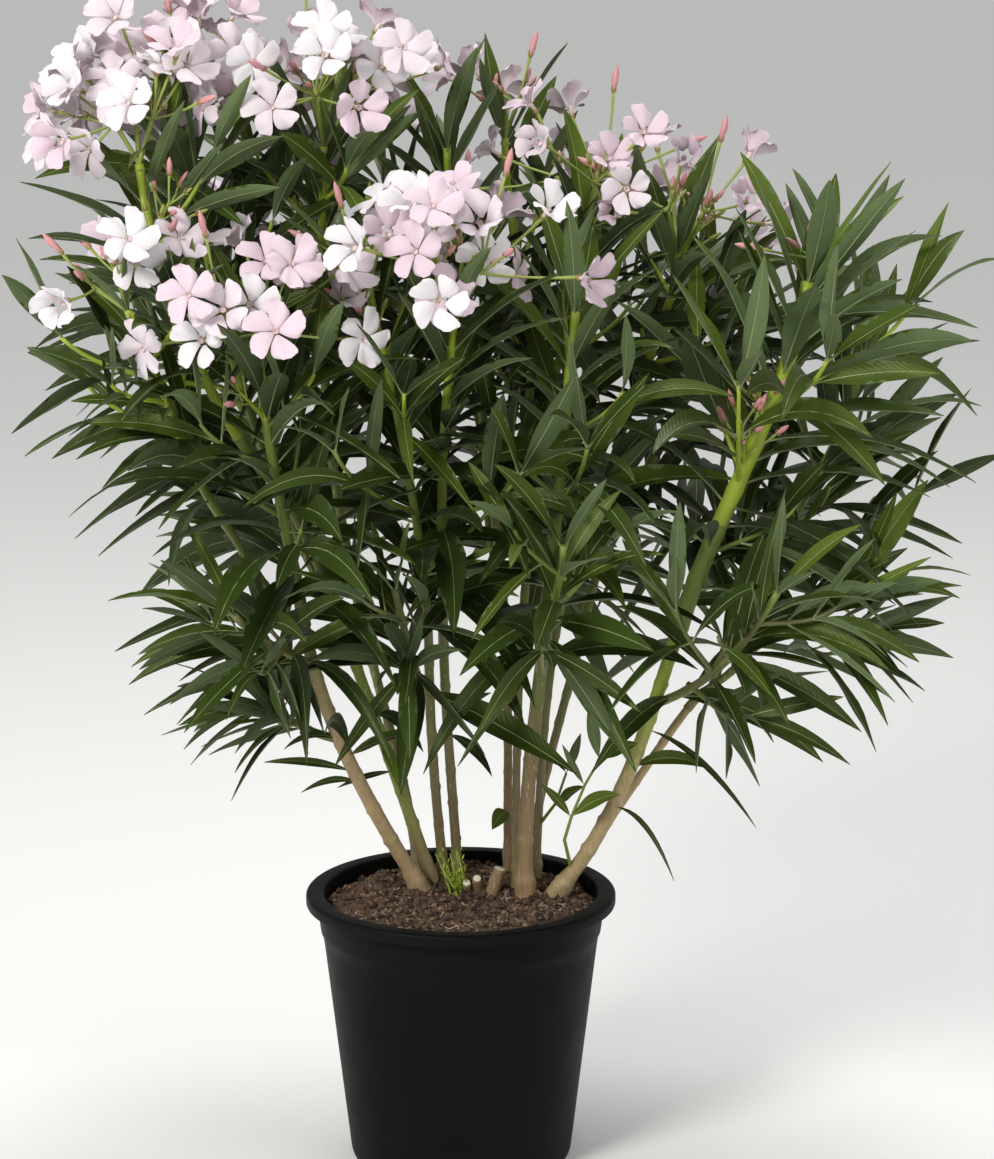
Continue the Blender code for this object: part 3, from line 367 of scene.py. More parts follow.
def grow_cane(cane):
    """A cane's arc and limb. Its foot flares over half a run and is cut flat over the soil."""
    start = Vector((*cane.foot, SOIL_LEVEL + GAP))
    tip = Vector(cane.tip)
    curve = arc(start, upright(cane.lean), tip, upright(cane.tip_lean))
    count = segments_for(curve)
    path = along(curve, count)
    radii = tapered(cane.radius, cane.tip_radius, count)
    path.insert(1, curve(0.5 / count))
    radii.insert(1, 0.5 * (radii[0] + radii[1]))
    radii[0] *= 1.0 + cane.flare
    return curve, Limb(path, radii, CANE_SIDES, Vector((0.0, 0.0, 1.0)), heading_at(curve, 1.0))


def grow_bough(bough, parent, siblings):
    """A bough's arc and limb."""
    curve, normal = grow_on(parent, bough, bough.radius, siblings)
    count = segments_for(curve)
    radii = tapered(bough.radius, bough.tip_radius, count)
    return curve, Limb(along(curve, count), radii, BOUGH_SIDES, normal, heading_at(curve, 1.0))


def seat_on(parent, share, tip, radius, siblings):
    """Where a limb sits on its parent, clear by GAP: on the flat tip, or flat on a side facet.
    Limbs that share a tip stand side by side, each towards its own end."""
    curve, tree = parent
    point, direction = curve(share), heading_at(curve, share)
    towards = square_to(direction, tip - point)
    if share >= 1.0:
        aside = TIP_SHARING * radius if siblings > 1 else 0.0
        return point + direction * GAP + towards * aside, direction, direction
    surface, normal = tree.ray_cast(point, towards)[:2]
    leaving = (normal * SEAT_OUTWARD + direction * SEAT_ONWARD).normalized()
    return surface + normal * GAP, normal, leaving


def grow_on(parent, child, radius, siblings):
    """The arc and seat plane of a limb that goes on from a parent limb."""
    tip = Vector(child.tip)
    seat, normal, leaving = seat_on(parent, child.share, tip, radius, siblings)
    return arc(seat, leaving, tip, upright(child.lean)), normal


def whorls(curve, shares, leaf, rng, sink, pitches):
    """Whorls of three leaves at the given shares of a twig. Each whorl is turned by half a
    step from the one under it. Low leaves lie wide and hang, except at the crown's two broad
    sides, where they lie nearly level. High ones are short and steep."""
    leaves = []
    turn = rng.uniform(0.0, 2.0 * math.pi)
    for share in shares:
        point, direction = curve(share), heading_at(curve, share)
        turn += math.pi / LEAVES_PER_WHORL + rng.uniform(-0.15, 0.15)
        height = share ** 1.4
        for j in range(LEAVES_PER_WHORL):
            angle = turn + 2.0 * math.pi * j / LEAVES_PER_WHORL + rng.uniform(-0.12, 0.12)
            pitch = math.radians(pitches[0] + (pitches[1] - pitches[0]) * height
                                 + rng.uniform(-9.0, 9.0))
            radial = round_about(direction, Vector((1.0, 0.2, 0.1)), angle)
            heading = turned(direction, radial, pitch)
            outer = abs(point.x - CROWN_CENTRE.x) > LEVEL_BEYOND
            if outer:
                heading.z = max(heading.z, LOWEST_HEADING)
                heading.normalize()
            across = direction.cross(radial)
            length = leaf * (1.0 - 0.28 * height) * rng.uniform(0.86, 1.10)
            droop = (OUTER_DROOP if outer else INNER_DROOP) * (1.0 - height) \
                + rng.uniform(0.02, 0.14)
            width = length * LEAF_WIDTH * rng.uniform(0.9, 1.12)
            root = point - heading * sink
            leaves.append(Leaf(root, heading, across, length, width, droop))
    return leaves


def flower_head(tip, direction, mass, rng):
    """A loose dome of flowers and buds: three short branches, and a stalk to each flower."""
    twigs, flowers, buds = [], [], []
    total = mass.flowers + mass.buds
    if total == 0:
        return twigs, flowers, buds
    size = HEAD_SIZE + HEAD_GROWTH * mass.flowers ** HEAD_POWER
    hint = Vector((1.0, 0.3, 0.0))
    branches = 3 if total > 3 else 1
    forks = []
    for k in range(branches):
        radial = round_about(direction, hint, mass.turn + 2.0 * math.pi * k / branches)
        lean = BRANCH_LEAN if branches > 1 else 0.0
        heading = (direction + radial * lean).normalized()
        start = tip - heading * BRANCH_SINK
        end = tip + heading * size * HEAD_BRANCH
        forks.append(end - heading * FORK_SINK)
        twigs.append(Limb([start, start.lerp(end, 0.35), end],
                          [0.0, BRANCH_RADIUS, BRANCH_RADIUS], TWIG_SIDES, None, None))
    for k in range(total):
        ring = (k + 0.5) / total
        polar = math.acos(1.0 - ring * (1.0 - math.cos(HEAD_POLAR)))
        radial = round_about(direction, hint, mass.turn + k * GOLDEN_TURN)
        outward = turned(direction, radial, polar)
        far = size * (HEAD_REACH + rng.uniform(-HEAD_SPREAD, HEAD_SPREAD))
        centre = tip + direction * size * HEAD_MIDDLE + outward * far
        start = min(forks, key=lambda fork: (fork - centre).length)
        towards = (centre - start).normalized()
        facing = (0.4 * outward + 1.2 * towards + FLOWER_LOOK).normalized()
        flowering = (k * mass.flowers) // total != ((k + 1) * mass.flowers) // total
        depth = FLOWER_DEPTH if flowering else 0.5 * BUD_LENGTH
        base = centre - facing * depth
        if flowering:
            flowers.append(Flower(start, base, facing, rng.uniform(-FLOWER_SPIN, FLOWER_SPIN)))
        else:
            buds.append(Bud(start, base))
    return twigs, flowers, buds


def side_start(curve, share, turn, onward, outward):
    """Where a side twig springs from a curve, and which way it leaves."""
    point, direction = curve(share), heading_at(curve, share)
    radial = round_about(direction, Vector((1.0, 0.0, 0.0)), turn)
    return point, (direction * onward + radial * outward).normalized()


def twig_limb(twig, middles, start_radius, end_radius):
    """The limb of a side twig, with two bends between its ends."""
    return Limb([twig(share) for share in (0.0, *middles, 1.0)],
                tapered(start_radius, end_radius, 3), TWIG_SIDES, None, None)


def grow_mass(mass, parent, siblings):
    """Everything in one mass: its main axis, side twigs, leaves, flowers and buds."""
    rng = random.Random(mass.name)
    curve, normal = grow_on(parent, mass, AXIS_RADIUS, siblings)
    count = segments_for(curve)
    radii = tapered(AXIS_RADIUS, AXIS_TIP_RADIUS, count)
    axis = Limb(along(curve, count), radii, AXIS_SIDES, normal, None)
    step = (LAST_WHORL - FIRST_WHORL) / (mass.whorls - 1)
    shares = [FIRST_WHORL + step * k for k in range(mass.whorls)]
    leaves = whorls(curve, shares, mass.leaf, rng, 0.5 * AXIS_TIP_RADIUS,
                    (WIDE_PITCH, STEEP_PITCH))
    twigs, side_curves = [], []
    length = (curve(1.0) - curve(0.0)).length
    for k in range(mass.twigs):
        point, leaving = side_start(curve, FIRST_SIDE + SIDE_STEP * k,
                                    mass.turn + k * GOLDEN_TURN, SIDE_ONWARD, SIDE_OUTWARD)
        end = point + (leaving * SIDE_LENGTH + Vector((0.0, 0.0, SIDE_RISE))) * length
        twig = arc(point, leaving, end, leaving + Vector((0.0, 0.0, 0.8)))
        side_curves.append(twig)
        twigs.append(twig_limb(twig, (0.30, 0.65), TWIG_RADIUS, TWIG_TIP_RADIUS))
        leaves += whorls(twig, SIDE_WHORLS, mass.leaf * SIDE_LEAF, rng,
                         0.4 * TWIG_TIP_RADIUS, SIDE_PITCHES)
    head, flowers, buds = flower_head(curve(1.0), heading_at(curve, 1.0), mass, rng)
    return Shoot(curve, axis, twigs + head, leaves, flowers, buds, side_curves)


def leaf_middle(leaf, share):
    """The middle of a leaf of the solids at a share of its length."""
    drop = Vector((0.0, 0.0, -0.5 * leaf.droop * share ** 2))
    return leaf.root + (leaf.heading * share + drop) * leaf.length


def leaf_solid(leaf, margin=0.0, bare=0.0):
    """A leaf as a closed solid: a flat upper side over a keel, narrowing to both ends.
    margin swells it on all sides, and bare leaves off a share of its root."""
    down = Vector((0.0, 0.0, -1.0))
    shares = LONG_SHARES if leaf.length > LONG_LEAF else SHORT_SHARES
    verts = [leaf_middle(leaf, bare)]
    for share, fullness in shares:
        direction = (leaf.heading + down * leaf.droop * share).normalized()
        across = square_to(direction, leaf.across)
        below = across.cross(direction)
        if below.z > 0.0:
            across, below = -across, -below
        half = 0.5 * leaf.width * fullness + margin
        keel = LEAF_KEEL * leaf.length * fullness
        centre = leaf_middle(leaf, share)
        verts += [centre + across * half - below * margin,
                  centre - across * half - below * margin, centre + below * (keel + margin)]
    verts.append(leaf_middle(leaf, 1.0) + leaf.heading * margin)
    return verts, spindle_faces(len(shares), 3)


def spindle_faces(rings, sides):
    """Faces of a body with a point at each end and rings of corners between."""
    last = 1 + rings * sides
    faces = []
    for side in range(sides):
        following = (side + 1) % sides
        faces.append((0, 1 + following, 1 + side))
        faces += strip(1, last - sides, sides, side)
        top = last - sides
        faces.append((last, top + side, top + following))
    return faces


def stalk_ring(root, base, radius):
    """Three corners round the top of a straight stalk."""
    side, other = square_pair((base - root).normalized(), Vector((0.2, 0.1, 1.0)))
    return [base + out * radius for out in spokes(side, other, 3)]


def flower_solid(flower, margin=0.0, bare=0.0):
    """A flower on its stalk as a closed solid: a five-pointed funnel with a dished face."""
    verts = [flower.root.lerp(flower.base, bare)]
    verts += stalk_ring(flower.root, flower.base, STALK_RADIUS + margin)
    facing = flower.facing
    side, other = square_pair(facing, verts[1] - flower.base)
    face = flower.base + facing * (FLOWER_DEPTH + margin)
    for k in range(PETAL_CORNERS):
        angle = flower.spin + 2.0 * math.pi * k / PETAL_CORNERS
        at_tip = k % 2 == 0
        reach = FLOWER_RADIUS * (1.0 if at_tip else FLOWER_NOTCH) + margin
        lift = 0.0 if at_tip else -FLOWER_DISH
        verts.append(face + turned(side, other, angle) * reach + facing * lift)
    verts.append(face - facing * 2.0 * FLOWER_DISH)
    return verts, flower_faces()


def flower_faces():
    """Stalk, funnel and face of a flower: a root, a ring of 3, the petals' rim and a middle."""
    rim, middle = 4, 4 + PETAL_CORNERS
    faces = [(0, 2, 1), (0, 3, 2), (0, 1, 3)]
    for k in range(PETAL_CORNERS):
        following = (k + 1) % PETAL_CORNERS
        near = 1 + k * 3 // PETAL_CORNERS
        next_near = 1 + following * 3 // PETAL_CORNERS
        faces.append((near, rim + following, rim + k))
        if next_near != near:
            faces.append((near, next_near, rim + following))
        faces.append((middle, rim + k, rim + following))
    return faces


def bud_solid(bud, margin=0.0, bare=0.0):
    """A bud on its stalk as a slim closed solid."""
    direction = (bud.base - bud.root).normalized()
    middle = bud.base + direction * BUD_LENGTH * 0.45
    verts = [bud.root.lerp(bud.base, bare)]
    verts += stalk_ring(bud.root, bud.base, STALK_RADIUS + margin)
    verts += stalk_ring(bud.base, middle, BUD_RADIUS + margin)
    verts.append(bud.base + direction * (BUD_LENGTH + margin))
    return verts, spindle_faces(2, 3)


def anywhere(rng, reach):
    """A random offset of at most reach along each axis."""
    return Vector([rng.uniform(-reach, reach) for _ in range(3)])


def tree_of(verts, faces):
    """A body's faces, to be asked what they touch."""
    return BVHTree.FromPolygons([tuple(v) for v in verts], faces)


class Space:
    """What is taken already: the box and the faces of each piece, and whose it is."""

    def __init__(self):
        self.taken = []

    def add(self, owner, verts, faces):
        self.taken.append((owner, *box_of(verts), tree_of(verts, faces)))

    def free(self, verts, faces, but=None):
        """Whether a body touches nothing that is taken, leaving out one owner's pieces."""
        (low, high), tree = box_of(verts), None
        for owner, other_low, other_high, other in self.taken:
            if owner == but or apart(low, high, other_low, other_high):
                continue
            tree = tree or tree_of(verts, faces)
            if tree.overlap(other):
                return False
        return True

    def take(self, owner, verts, faces):
        """Adds a body unless it touches another owner's, and tells whether it was added."""
        if not self.free(verts, faces, owner):
            return False
        self.add(owner, verts, faces)
        return True


def box_of(verts):
    """The low and the high corner of the box round some points."""
    low = tuple(min(v[k] for v in verts) for k in range(3))
    high = tuple(max(v[k] for v in verts) for k in range(3))
    return low, high


def apart(low, high, other_low, other_high):
    """Whether two boxes miss each other."""
    return any(low[k] > other_high[k] or high[k] < other_low[k] for k in range(3))


def in_crown(point):
    """Whether a leaf's tip stays within the crown's reach and over its skirt."""
    offset = point - CROWN_CENTRE
    share = sum(abs(offset[k] / CROWN_RADII[k]) ** CROWN_SQUARENESS for k in range(3))
    return share < 1.0 and point.z > SKIRT + SKIRT_RISE * max(0.0, -point.y)


def swung(piece, angle):
    """The same leaf, flower or bud, swung sideways about its root."""
    swing = Matrix.Rotation(angle, 3, Vector((0.0, 0.0, 1.0)))
    if isinstance(piece, Leaf):
        return piece._replace(heading=swing @ piece.heading, across=swing @ piece.across)
    base = piece.root + swing @ (piece.base - piece.root)
    if isinstance(piece, Bud):
        return piece._replace(base=base)
    return piece._replace(base=base, facing=swing @ piece.facing)


def place(piece, solid_of, name, space, rng, tries=TRIES, clearance=CLEARANCE, stem=()):
    """Adds a leaf, flower or bud where it has room, after a few swings to either side.
    Returns it as it was placed, or None where it would touch something, leave the crown or
    hide the open stem."""
    for attempt in range(tries):
        tried = swung(piece, 0.0 if attempt == 0 else rng.uniform(-SWING, SWING))
        if stem and hides(tried, stem):
            continue
        outer = solid_of(tried, clearance, ROOT_CLEAR)
        inside = in_crown(outer[0][-1]) or not isinstance(piece, Leaf)
        if inside and space.free(*outer) and space.take(name, *solid_of(tried)):
            return tried
    return None


# --- Finer growth ---
FINE_LEAF_WIDTH = 0.150
FINE_TRIES = 6
FINE_CLEARANCE = 0.0004
FINE_TWIGS = 4
FINE_WHORLS = (0.34, 0.66, 0.97)
FINE_FIRST, FINE_STEP, FINE_TURN = 0.24, 0.19, 2.2
FINE_ONWARD, FINE_OUTWARD, FINE_LENGTH, FINE_RISE = 0.66, 0.75, 0.30, 0.10
FINE_LEAF = 0.78
# The open stem on the right: the share of its cane where it starts, how far beside it and before
# it fine leaves keep clear, and how much the photo's view falls over a unit of depth.
OPEN_SHARE = 0.38
OPEN_HALF_WIDTH = 0.020
OPEN_DEPTH = 0.010
LOOK_DOWN = 0.22
LEAF_STATIONS = 11
RIB_STATIONS = 8
RIB_HALF, USUAL_WIDTH = 0.00080, 0.024
BLADE_START, BLADE_THICKNESS, BLADE_EDGE = 0.045, 0.00035, 0.0002
BLADE_ACROSS = (-1.0, -0.55, 0.0, 0.55, 1.0)
PETAL_LENGTH, PETAL_THICKNESS = 0.0200, 0.00022
PETAL_OUTLINE = ((0.0, 0.15), (0.12, 0.28), (0.28, 0.48), (0.46, 0.69), (0.64, 0.86),
                 (0.80, 0.94), (0.92, 0.86), (1.0, 0.54))
PETAL_ACROSS = (-1.0, -0.72, -0.4, -0.1, 0.2, 0.5, 0.76, 1.0)
THROAT_RADIUS = 0.0016
TUBE_LENGTH = 0.0150
TUBE_PROFILE = ((0.0010, -1.0), (0.0012, -0.72), (0.0015, -0.50), (0.0019, -0.32),
                (0.0022, -0.24), (0.0019, -0.20))
BUD_PROFILE = ((0.0, 0.45), (0.14, 0.62), (0.32, 0.86), (0.50, 1.0), (0.68, 0.90),
               (0.84, 0.58), (0.95, 0.24), (1.0, 0.05))
FLOWERS_APART = 0.0215
STEM_FOOT = 0.0036
STEM_TIP = 0.0027
SIDE_STEM = 0.0022
SMALL_BUDS = 3
SPROUT_SHOOTS, SPROUT_LEAVES = 13, 11
TO_LIGHT, SHADED_BEYOND = Vector((-0.12, -0.46, 0.06)), 0.034

# --- Tones: plain colours, dealt out by spray. The greens of leaves, undersides and midribs, and the lilac petals, hold painted light and shade ---
# Leaf greens: deep and dark are a painted shade for leaves low in the crown and inside it; bright and young
# are painted light on its top and outside, where young leaves are also lighter
LEAF_COLOURS = {
    "deep": (0.021, 0.037, 0.007),
    "dark": (0.031, 0.053, 0.008),
    "mid": (0.050, 0.080, 0.009),
    "bright": (0.085, 0.131, 0.014),
    "young": (0.155, 0.235, 0.026),
}
# Undersides: shade is a painted-shade copy for the deep and dark leaves, pale a lit copy for the brighter
# ones
UNDER_COLOURS = {
    "shade": (0.055, 0.080, 0.034),
    "pale": (0.105, 0.150, 0.065),
}
# Midribs: a dim copy, painted shade, for the deepest leaves, and a lit copy for the rest
RIB_COLOURS = {
    "dull": (0.170, 0.215, 0.090),
    "light": (0.300, 0.360, 0.160),
}
STEM_COLOURS = {
    "olive": (0.150, 0.160, 0.050),
    "green": (0.180, 0.240, 0.040),
    "lime": (0.350, 0.450, 0.036),
}
# Petal tones: white, blush and pink are the flowers' own, though heads at the back and top are pushed to
# pink and lilac as a painted shade; lilac is only that painted shade
PETAL_COLOURS = {
    "white": (0.775, 0.735, 0.755),
    "blush": (0.745, 0.660, 0.705),
    "pink": (0.710, 0.575, 0.645),
    "lilac": (0.520, 0.425, 0.485),
}
BACK_COLOUR = (0.700, 0.575, 0.640)
LEAF_TONES, UNDER_TONES = list(LEAF_COLOURS), list(UNDER_COLOURS)
RIB_TONES, STEM_TONES = list(RIB_COLOURS), list(STEM_COLOURS)
PETAL_TONES = list(PETAL_COLOURS)
GRAINED = {
    **{"midribs_" + kind: (colour, 0.50, 900.0) for kind, colour in RIB_COLOURS.items()},
    **{"stems_" + kind: (colour, 0.48, 500.0) for kind, colour in STEM_COLOURS.items()},
    "flower_throats": ((0.860, 0.700, 0.715), 0.60, 1200.0),
    "flower_tubes": ((0.760, 0.640, 0.560), 0.60, 700.0),
    "flower_stalks": ((0.310, 0.375, 0.085), 0.52, 800.0),
    "sepals": ((0.345, 0.255, 0.085), 0.55, 900.0),
    "buds_pink": ((0.640, 0.290, 0.300), 0.50, 900.0),
    "buds_green": ((0.330, 0.360, 0.090), 0.50, 900.0),
    "sprout_stems": ((0.330, 0.400, 0.060), 0.50, 900.0),
    "sprout_leaves": ((0.400, 0.510, 0.040), 0.50, 900.0),
}
FACETED = ("sepals", "sprout_leaves")

# --- Bark: where it starts to turn green, and its old and young colours ---
BARKS = {
    "tan": (0.400, (0.440, 0.325, 0.175), (0.190, 0.225, 0.055)),
    "brown": (0.335, (0.330, 0.225, 0.120), (0.165, 0.190, 0.050)),
    "fresh": (0.270, (0.400, 0.310, 0.160), (0.235, 0.300, 0.045)),
    "lime": (0.340, (0.430, 0.325, 0.170), (0.290, 0.380, 0.040)),
    "olive": (0.345, (0.285, 0.235, 0.120), (0.165, 0.200, 0.045)),
}
BARK_OF = {
    "cane_left_front": "tan", "cane_left": "fresh", "cane_right": "lime",
    "cane_centre": "brown", "cane_centre_rear": "brown", "cane_right_thin": "tan",
    "stub_tall": "brown", "stub_low_left": "brown", "stub_low_right": "brown",
}
BARK_SHARE = 0.94
FOOT_KNOB, KNOB_HEIGHT, KNOB_SPREAD = 0.22, 0.011, 0.0065
NODE_SWELL, NODE_WIDTH = 0.090, 0.0024
BARK_SINK, BARK_STEP = 0.004, 0.0028
SCAR_REACH, SCAR_HEIGHT, THIRD_TURN = 0.006, 0.14, 2.0943951
TIP_RADIUS = {limb.name: limb.tip_radius for limb in CANES + BOUGHS}

# --- Low growth: twigs and single leaves on a cane, at a share along it. A twig has its further
# points and its leaves. A leaf has the point it springs from, its tip, width, droop and tone,
# its place among the greens of painted light and shade. ---
LOW_TWIGS = (
    ("cane_right", 0.10, ((0.080, -0.010, 0.255), (0.085, -0.014, 0.274),
                          (0.095, -0.020, 0.301), (0.106, -0.026, 0.323)),
     ((2, (0.122, -0.034, 0.298), 0.0125, 0.20, 3), (2, (0.064, -0.022, 0.304), 0.0070, 0.2, 2),
      (3, (0.076, -0.034, 0.336), 0.0060, 0.2, 2), (4, (0.136, -0.034, 0.336), 0.0110, 0.2, 2),
      (4, (0.096, -0.030, 0.366), 0.0100, 0.2, 3))),
    ("cane_centre_back", 0.22, ((0.074, 0.040, 0.270), (0.082, 0.034, 0.296)),
     ((1, (0.096, 0.020, 0.286), 0.0110, 0.3, 3), (2, (0.094, 0.026, 0.330), 0.0080, 0.2, 2),
      (2, (0.066, 0.030, 0.322), 0.0060, 0.2, 2))),
)
LOW_LEAVES = (
    ("cane_right", 0.36, (0.168, -0.060, 0.246), 0.0040, 0.3, 0),
    ("cane_right", 0.50, (0.190, -0.026, 0.318), 0.0120, 0.3, 2),
    ("cane_right", 0.64, (0.224, -0.048, 0.276), 0.0050, 0.5, 0),
    ("cane_centre_rear", 0.26, (0.024, 0.052, 0.246), 0.0130, 0.3, 3),
    ("cane_left_front", 0.46, (-0.150, -0.020, 0.322), 0.0070, 0.35, 1),
    ("cane_left_front", 0.52, (-0.030, -0.060, 0.350), 0.0120, 0.4, 2),
    ("cane_left", 0.52, (-0.050, -0.024, 0.292), 0.0110, 0.2, 4),
    ("cane_left", 0.40, (-0.093, -0.010, 0.294), 0.0050, 0.2, 1),
    ("cane_left_front", 0.42, (-0.122, -0.034, 0.306), 0.0055, 0.2, 1),
    ("cane_left_front", 0.58, (-0.134, -0.040, 0.340), 0.0060, 0.2, 1),
    ("cane_left", 0.60, (-0.030, -0.030, 0.330), 0.0120, 0.5, 1),
    ("cane_middle_right", 0.62, (0.030, -0.030, 0.318), 0.0085, 0.4, 1),
    ("cane_middle_right", 0.62, (0.025, -0.020, 0.371), 0.0065, 0.2, 1),
    ("cane_middle_right", 0.62, (0.010, -0.040, 0.380), 0.0050, 0.2, 2),
)

# --- Sprays of young buds: a mass, the share along its stem, which way, length and buds ---
BUD_SPRAYS = (
    ("mass_left_outer", 0.66, (-0.18, -0.50, 1.0), 0.078, 9),
    ("mass_left_outer", 0.80, (0.30, -0.55, 1.0), 0.060, 7),
    ("mass_left_front", 0.82, (-0.60, -0.70, 0.8), 0.052, 6),
    ("mass_middle_left", 0.86, (-0.50, -0.50, 1.0), 0.058, 7),
    ("mass_right", 0.46, (-0.05, -0.70, 1.0), 0.064, 9),
    ("mass_right", 0.60, (-0.30, -0.60, 1.0), 0.052, 8),
    ("mass_right_top", 0.92, (0.40, 0.10, 1.0), 0.056, 8),
    ("mass_centre_top", 0.94, (0.55, 0.20, 1.0), 0.052, 7),
    ("mass_back_left", 0.92, (-0.40, 0.30, 1.0), 0.054, 7),
)
HEAPS = {}


def show(name, data):
    """Puts an object into the scene."""
    made = bpy.data.objects.new(name, data)
    bpy.context.scene.collection.objects.link(made)
    return made


class Heap:
    """Faces of one kind, gathered and then joined into one object."""

    def __init__(self):
        self.verts, self.faces, self.uvs = [], [], []

    def add(self, verts, faces, uvs=None):
        """Adds points and the faces among them."""
        first = len(self.verts)
        self.verts += [tuple(v) for v in verts]
        self.faces += [tuple(first + i for i in face) for face in faces]
        self.uvs += uvs or [(0.0, 0.0)] * len(verts)

    def grid(self, rows, closed=False, uvs=None):
        """A sheet through rows of points; closed joins each row's end to its start."""
        width = len(rows[0])
        faces = []
        for low in range(0, (len(rows) - 1) * width, width):
            high = low + width
            for c in range(width if closed else width - 1):
                following = (c + 1) % width
                faces.append((low + c, low + following, high + following, high + c))
        self.add([v for row in rows for v in row], faces, uvs)

    def limb(self, rings, end):
        """A closed sheet through rings, which ends in a fan to one point."""
        self.grid(rings, closed=True)
        sides, last = len(rings[0]), len(self.verts)
        self.add([end], [])
        ring = last - sides
        self.faces += [(ring + s, ring + (s + 1) % sides, last) for s in range(sides)]

    def body(self, rows, first, last):
        """A closed body through rows of points, shut by fans to a first and a last point."""
        self.grid(rows, closed=True)
        sides, low = len(rows[0]), len(self.verts)
        ring = low - sides
        self.add([first, last], [])
        self.faces += [(s, low, (s + 1) % sides) for s in range(sides)]
        self.faces += [(ring + s, ring + (s + 1) % sides, low + 1) for s in range(sides)]
        self.faces = [face[::-1] for face in self.faces]

    def mesh(self, name, look, smooth=True):
        """The heap's faces as a mesh of one material."""
        mesh = bpy.data.meshes.new(name)
        mesh.from_pydata(self.verts, [], self.faces)
        layer = mesh.uv_layers.new(name="shape")
        coords = [0.0] * (2 * len(mesh.loops))
        for loop in mesh.loops:
            coords[2 * loop.index:2 * loop.index + 2] = self.uvs[loop.vertex_index]
        layer.data.foreach_set("uv", coords)
        if smooth:
            mesh.shade_smooth()
        mesh.validate()
        mesh.materials.append(look)
        return mesh

    def object(self, name, look, slot, smooth=True):
        """The heap as one piece of the plant."""
        made = show(name, self.mesh(name, look, smooth))
        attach(made, "root")
        return made


def heap_of(kind):
    """The heap that gathers all pieces of one kind."""
    return HEAPS.setdefault(kind, Heap())


class Look:
    """A material that starts from a plain base colour, its nodes, and its shader's sockets."""

    def __init__(self, name, colour, roughness):
        self.made = bpy.data.materials.new(name)
        self.made.use_nodes = True
        self.nodes, self.links = self.made.node_tree.nodes, self.made.node_tree.links
        self.shader = self.nodes["Principled BSDF"].inputs
        self.feed(self.shader, {"Base Color": (*colour, 1.0), "Roughness": roughness})
        self.place = self.nodes.new("ShaderNodeTexCoord").outputs["Object"]

    def feed(self, sockets, values):
        """Gives each socket its plain value, or links it to another node's output."""
        for key, value in values.items():
            if isinstance(value, bpy.types.NodeSocket):
                self.links.new(value, sockets[key])
            else:
                sockets[key].default_value = value

    def node(self, kind, values, **settings):
        """A new node's outputs. Its settings come before its values, which depend on them."""
        made = self.nodes.new("ShaderNode" + kind)
        for name, setting in settings.items():
            setattr(made, name, setting)
        self.feed(made.inputs, values)
        return made.outputs

    def noise(self, scale, detail, roughness, where):
        """A noise texture's value."""
        return self.node("TexNoise", {"Scale": scale, "Detail": detail, "Roughness": roughness,
                                      "Vector": where})["Fac"]

    def scaled(self, where, scale):
        """A place stretched or squeezed along each axis."""
        return self.node("Mapping", {"Vector": where, "Scale": scale})["Vector"]

    def scaled_uv(self, scale):
        """The same for the place on a leaf or a petal: along it and across it."""
        return self.scaled(self.node("UVMap", {}, uv_map="shape")["UV"], scale)

    def ramp(self, value, *stops):
        """A colour ramp with the given (place, colour) stops."""
        ramp = self.nodes.new("ShaderNodeValToRGB")
        self.links.new(value, ramp.inputs["Fac"])
        ends = ramp.color_ramp.elements
        while len(ends) < len(stops):
            ends.new(0.5)
        for element, (place, colour) in zip(ends, stops):
            element.position = place
            element.color = (*colour, 1.0)
        return ramp.outputs["Color"]

    def bump(self, height, strength, distance):
        """Raises the surface by a texture's value."""
        values = {"Strength": strength, "Distance": distance, "Height": height}
        self.feed(self.shader, {"Normal": self.node("Bump", values)["Normal"]})


def leaf_look(name, colour, roughness):
    """Leathery leaf skin with fine slanting side veins."""
    look = Look(name, colour, roughness)
    look.feed(look.shader, {"Specular IOR Level": 0.28, "Specular Tint": (0.96, 1.0, 0.56, 1.0)})
    veins = look.node("TexWave", {"Scale": 0.32, "Distortion": 0.6,
                                  "Vector": look.scaled_uv((34.0, 5.0, 1.0))},
                      wave_type="BANDS", bands_direction="DIAGONAL")
    look.bump(veins["Fac"], 0.22, 0.0004)
    return look.made


def grain_look(name, colour, roughness, scale, strength, distance):
    """A plain colour over a fine grain."""
    look = Look(name, colour, roughness)
    look.bump(look.noise(scale, 4.0, 0.55, look.place), strength, distance)
    return look.made


def petal_look(name, colour):
    """Thin soft petal: faint lengthwise pleats and a little light through it."""
    look = Look(name, colour, 0.62)
    look.feed(look.shader, {"Specular IOR Level": 0.30, "Subsurface Weight": 0.18,
                            "Subsurface Radius": (0.004, 0.0025, 0.0025)})
    look.bump(look.noise(2.6, 3.0, 0.5, look.scaled_uv((0.6, 7.0, 1.0))), 0.35, 0.0008)
    return look.made


def lance(share):
    """How full a leaf is at a share of its blade: pointed at both ends, widest before half."""
    if share <= 0.0 or share >= 1.0:
        return 0.0
    near = share / 0.44 if share < 0.44 else (1.0 - share) / 0.56
    return 1.0 - (1.0 - near) ** (1.75 if share < 0.44 else 1.95)


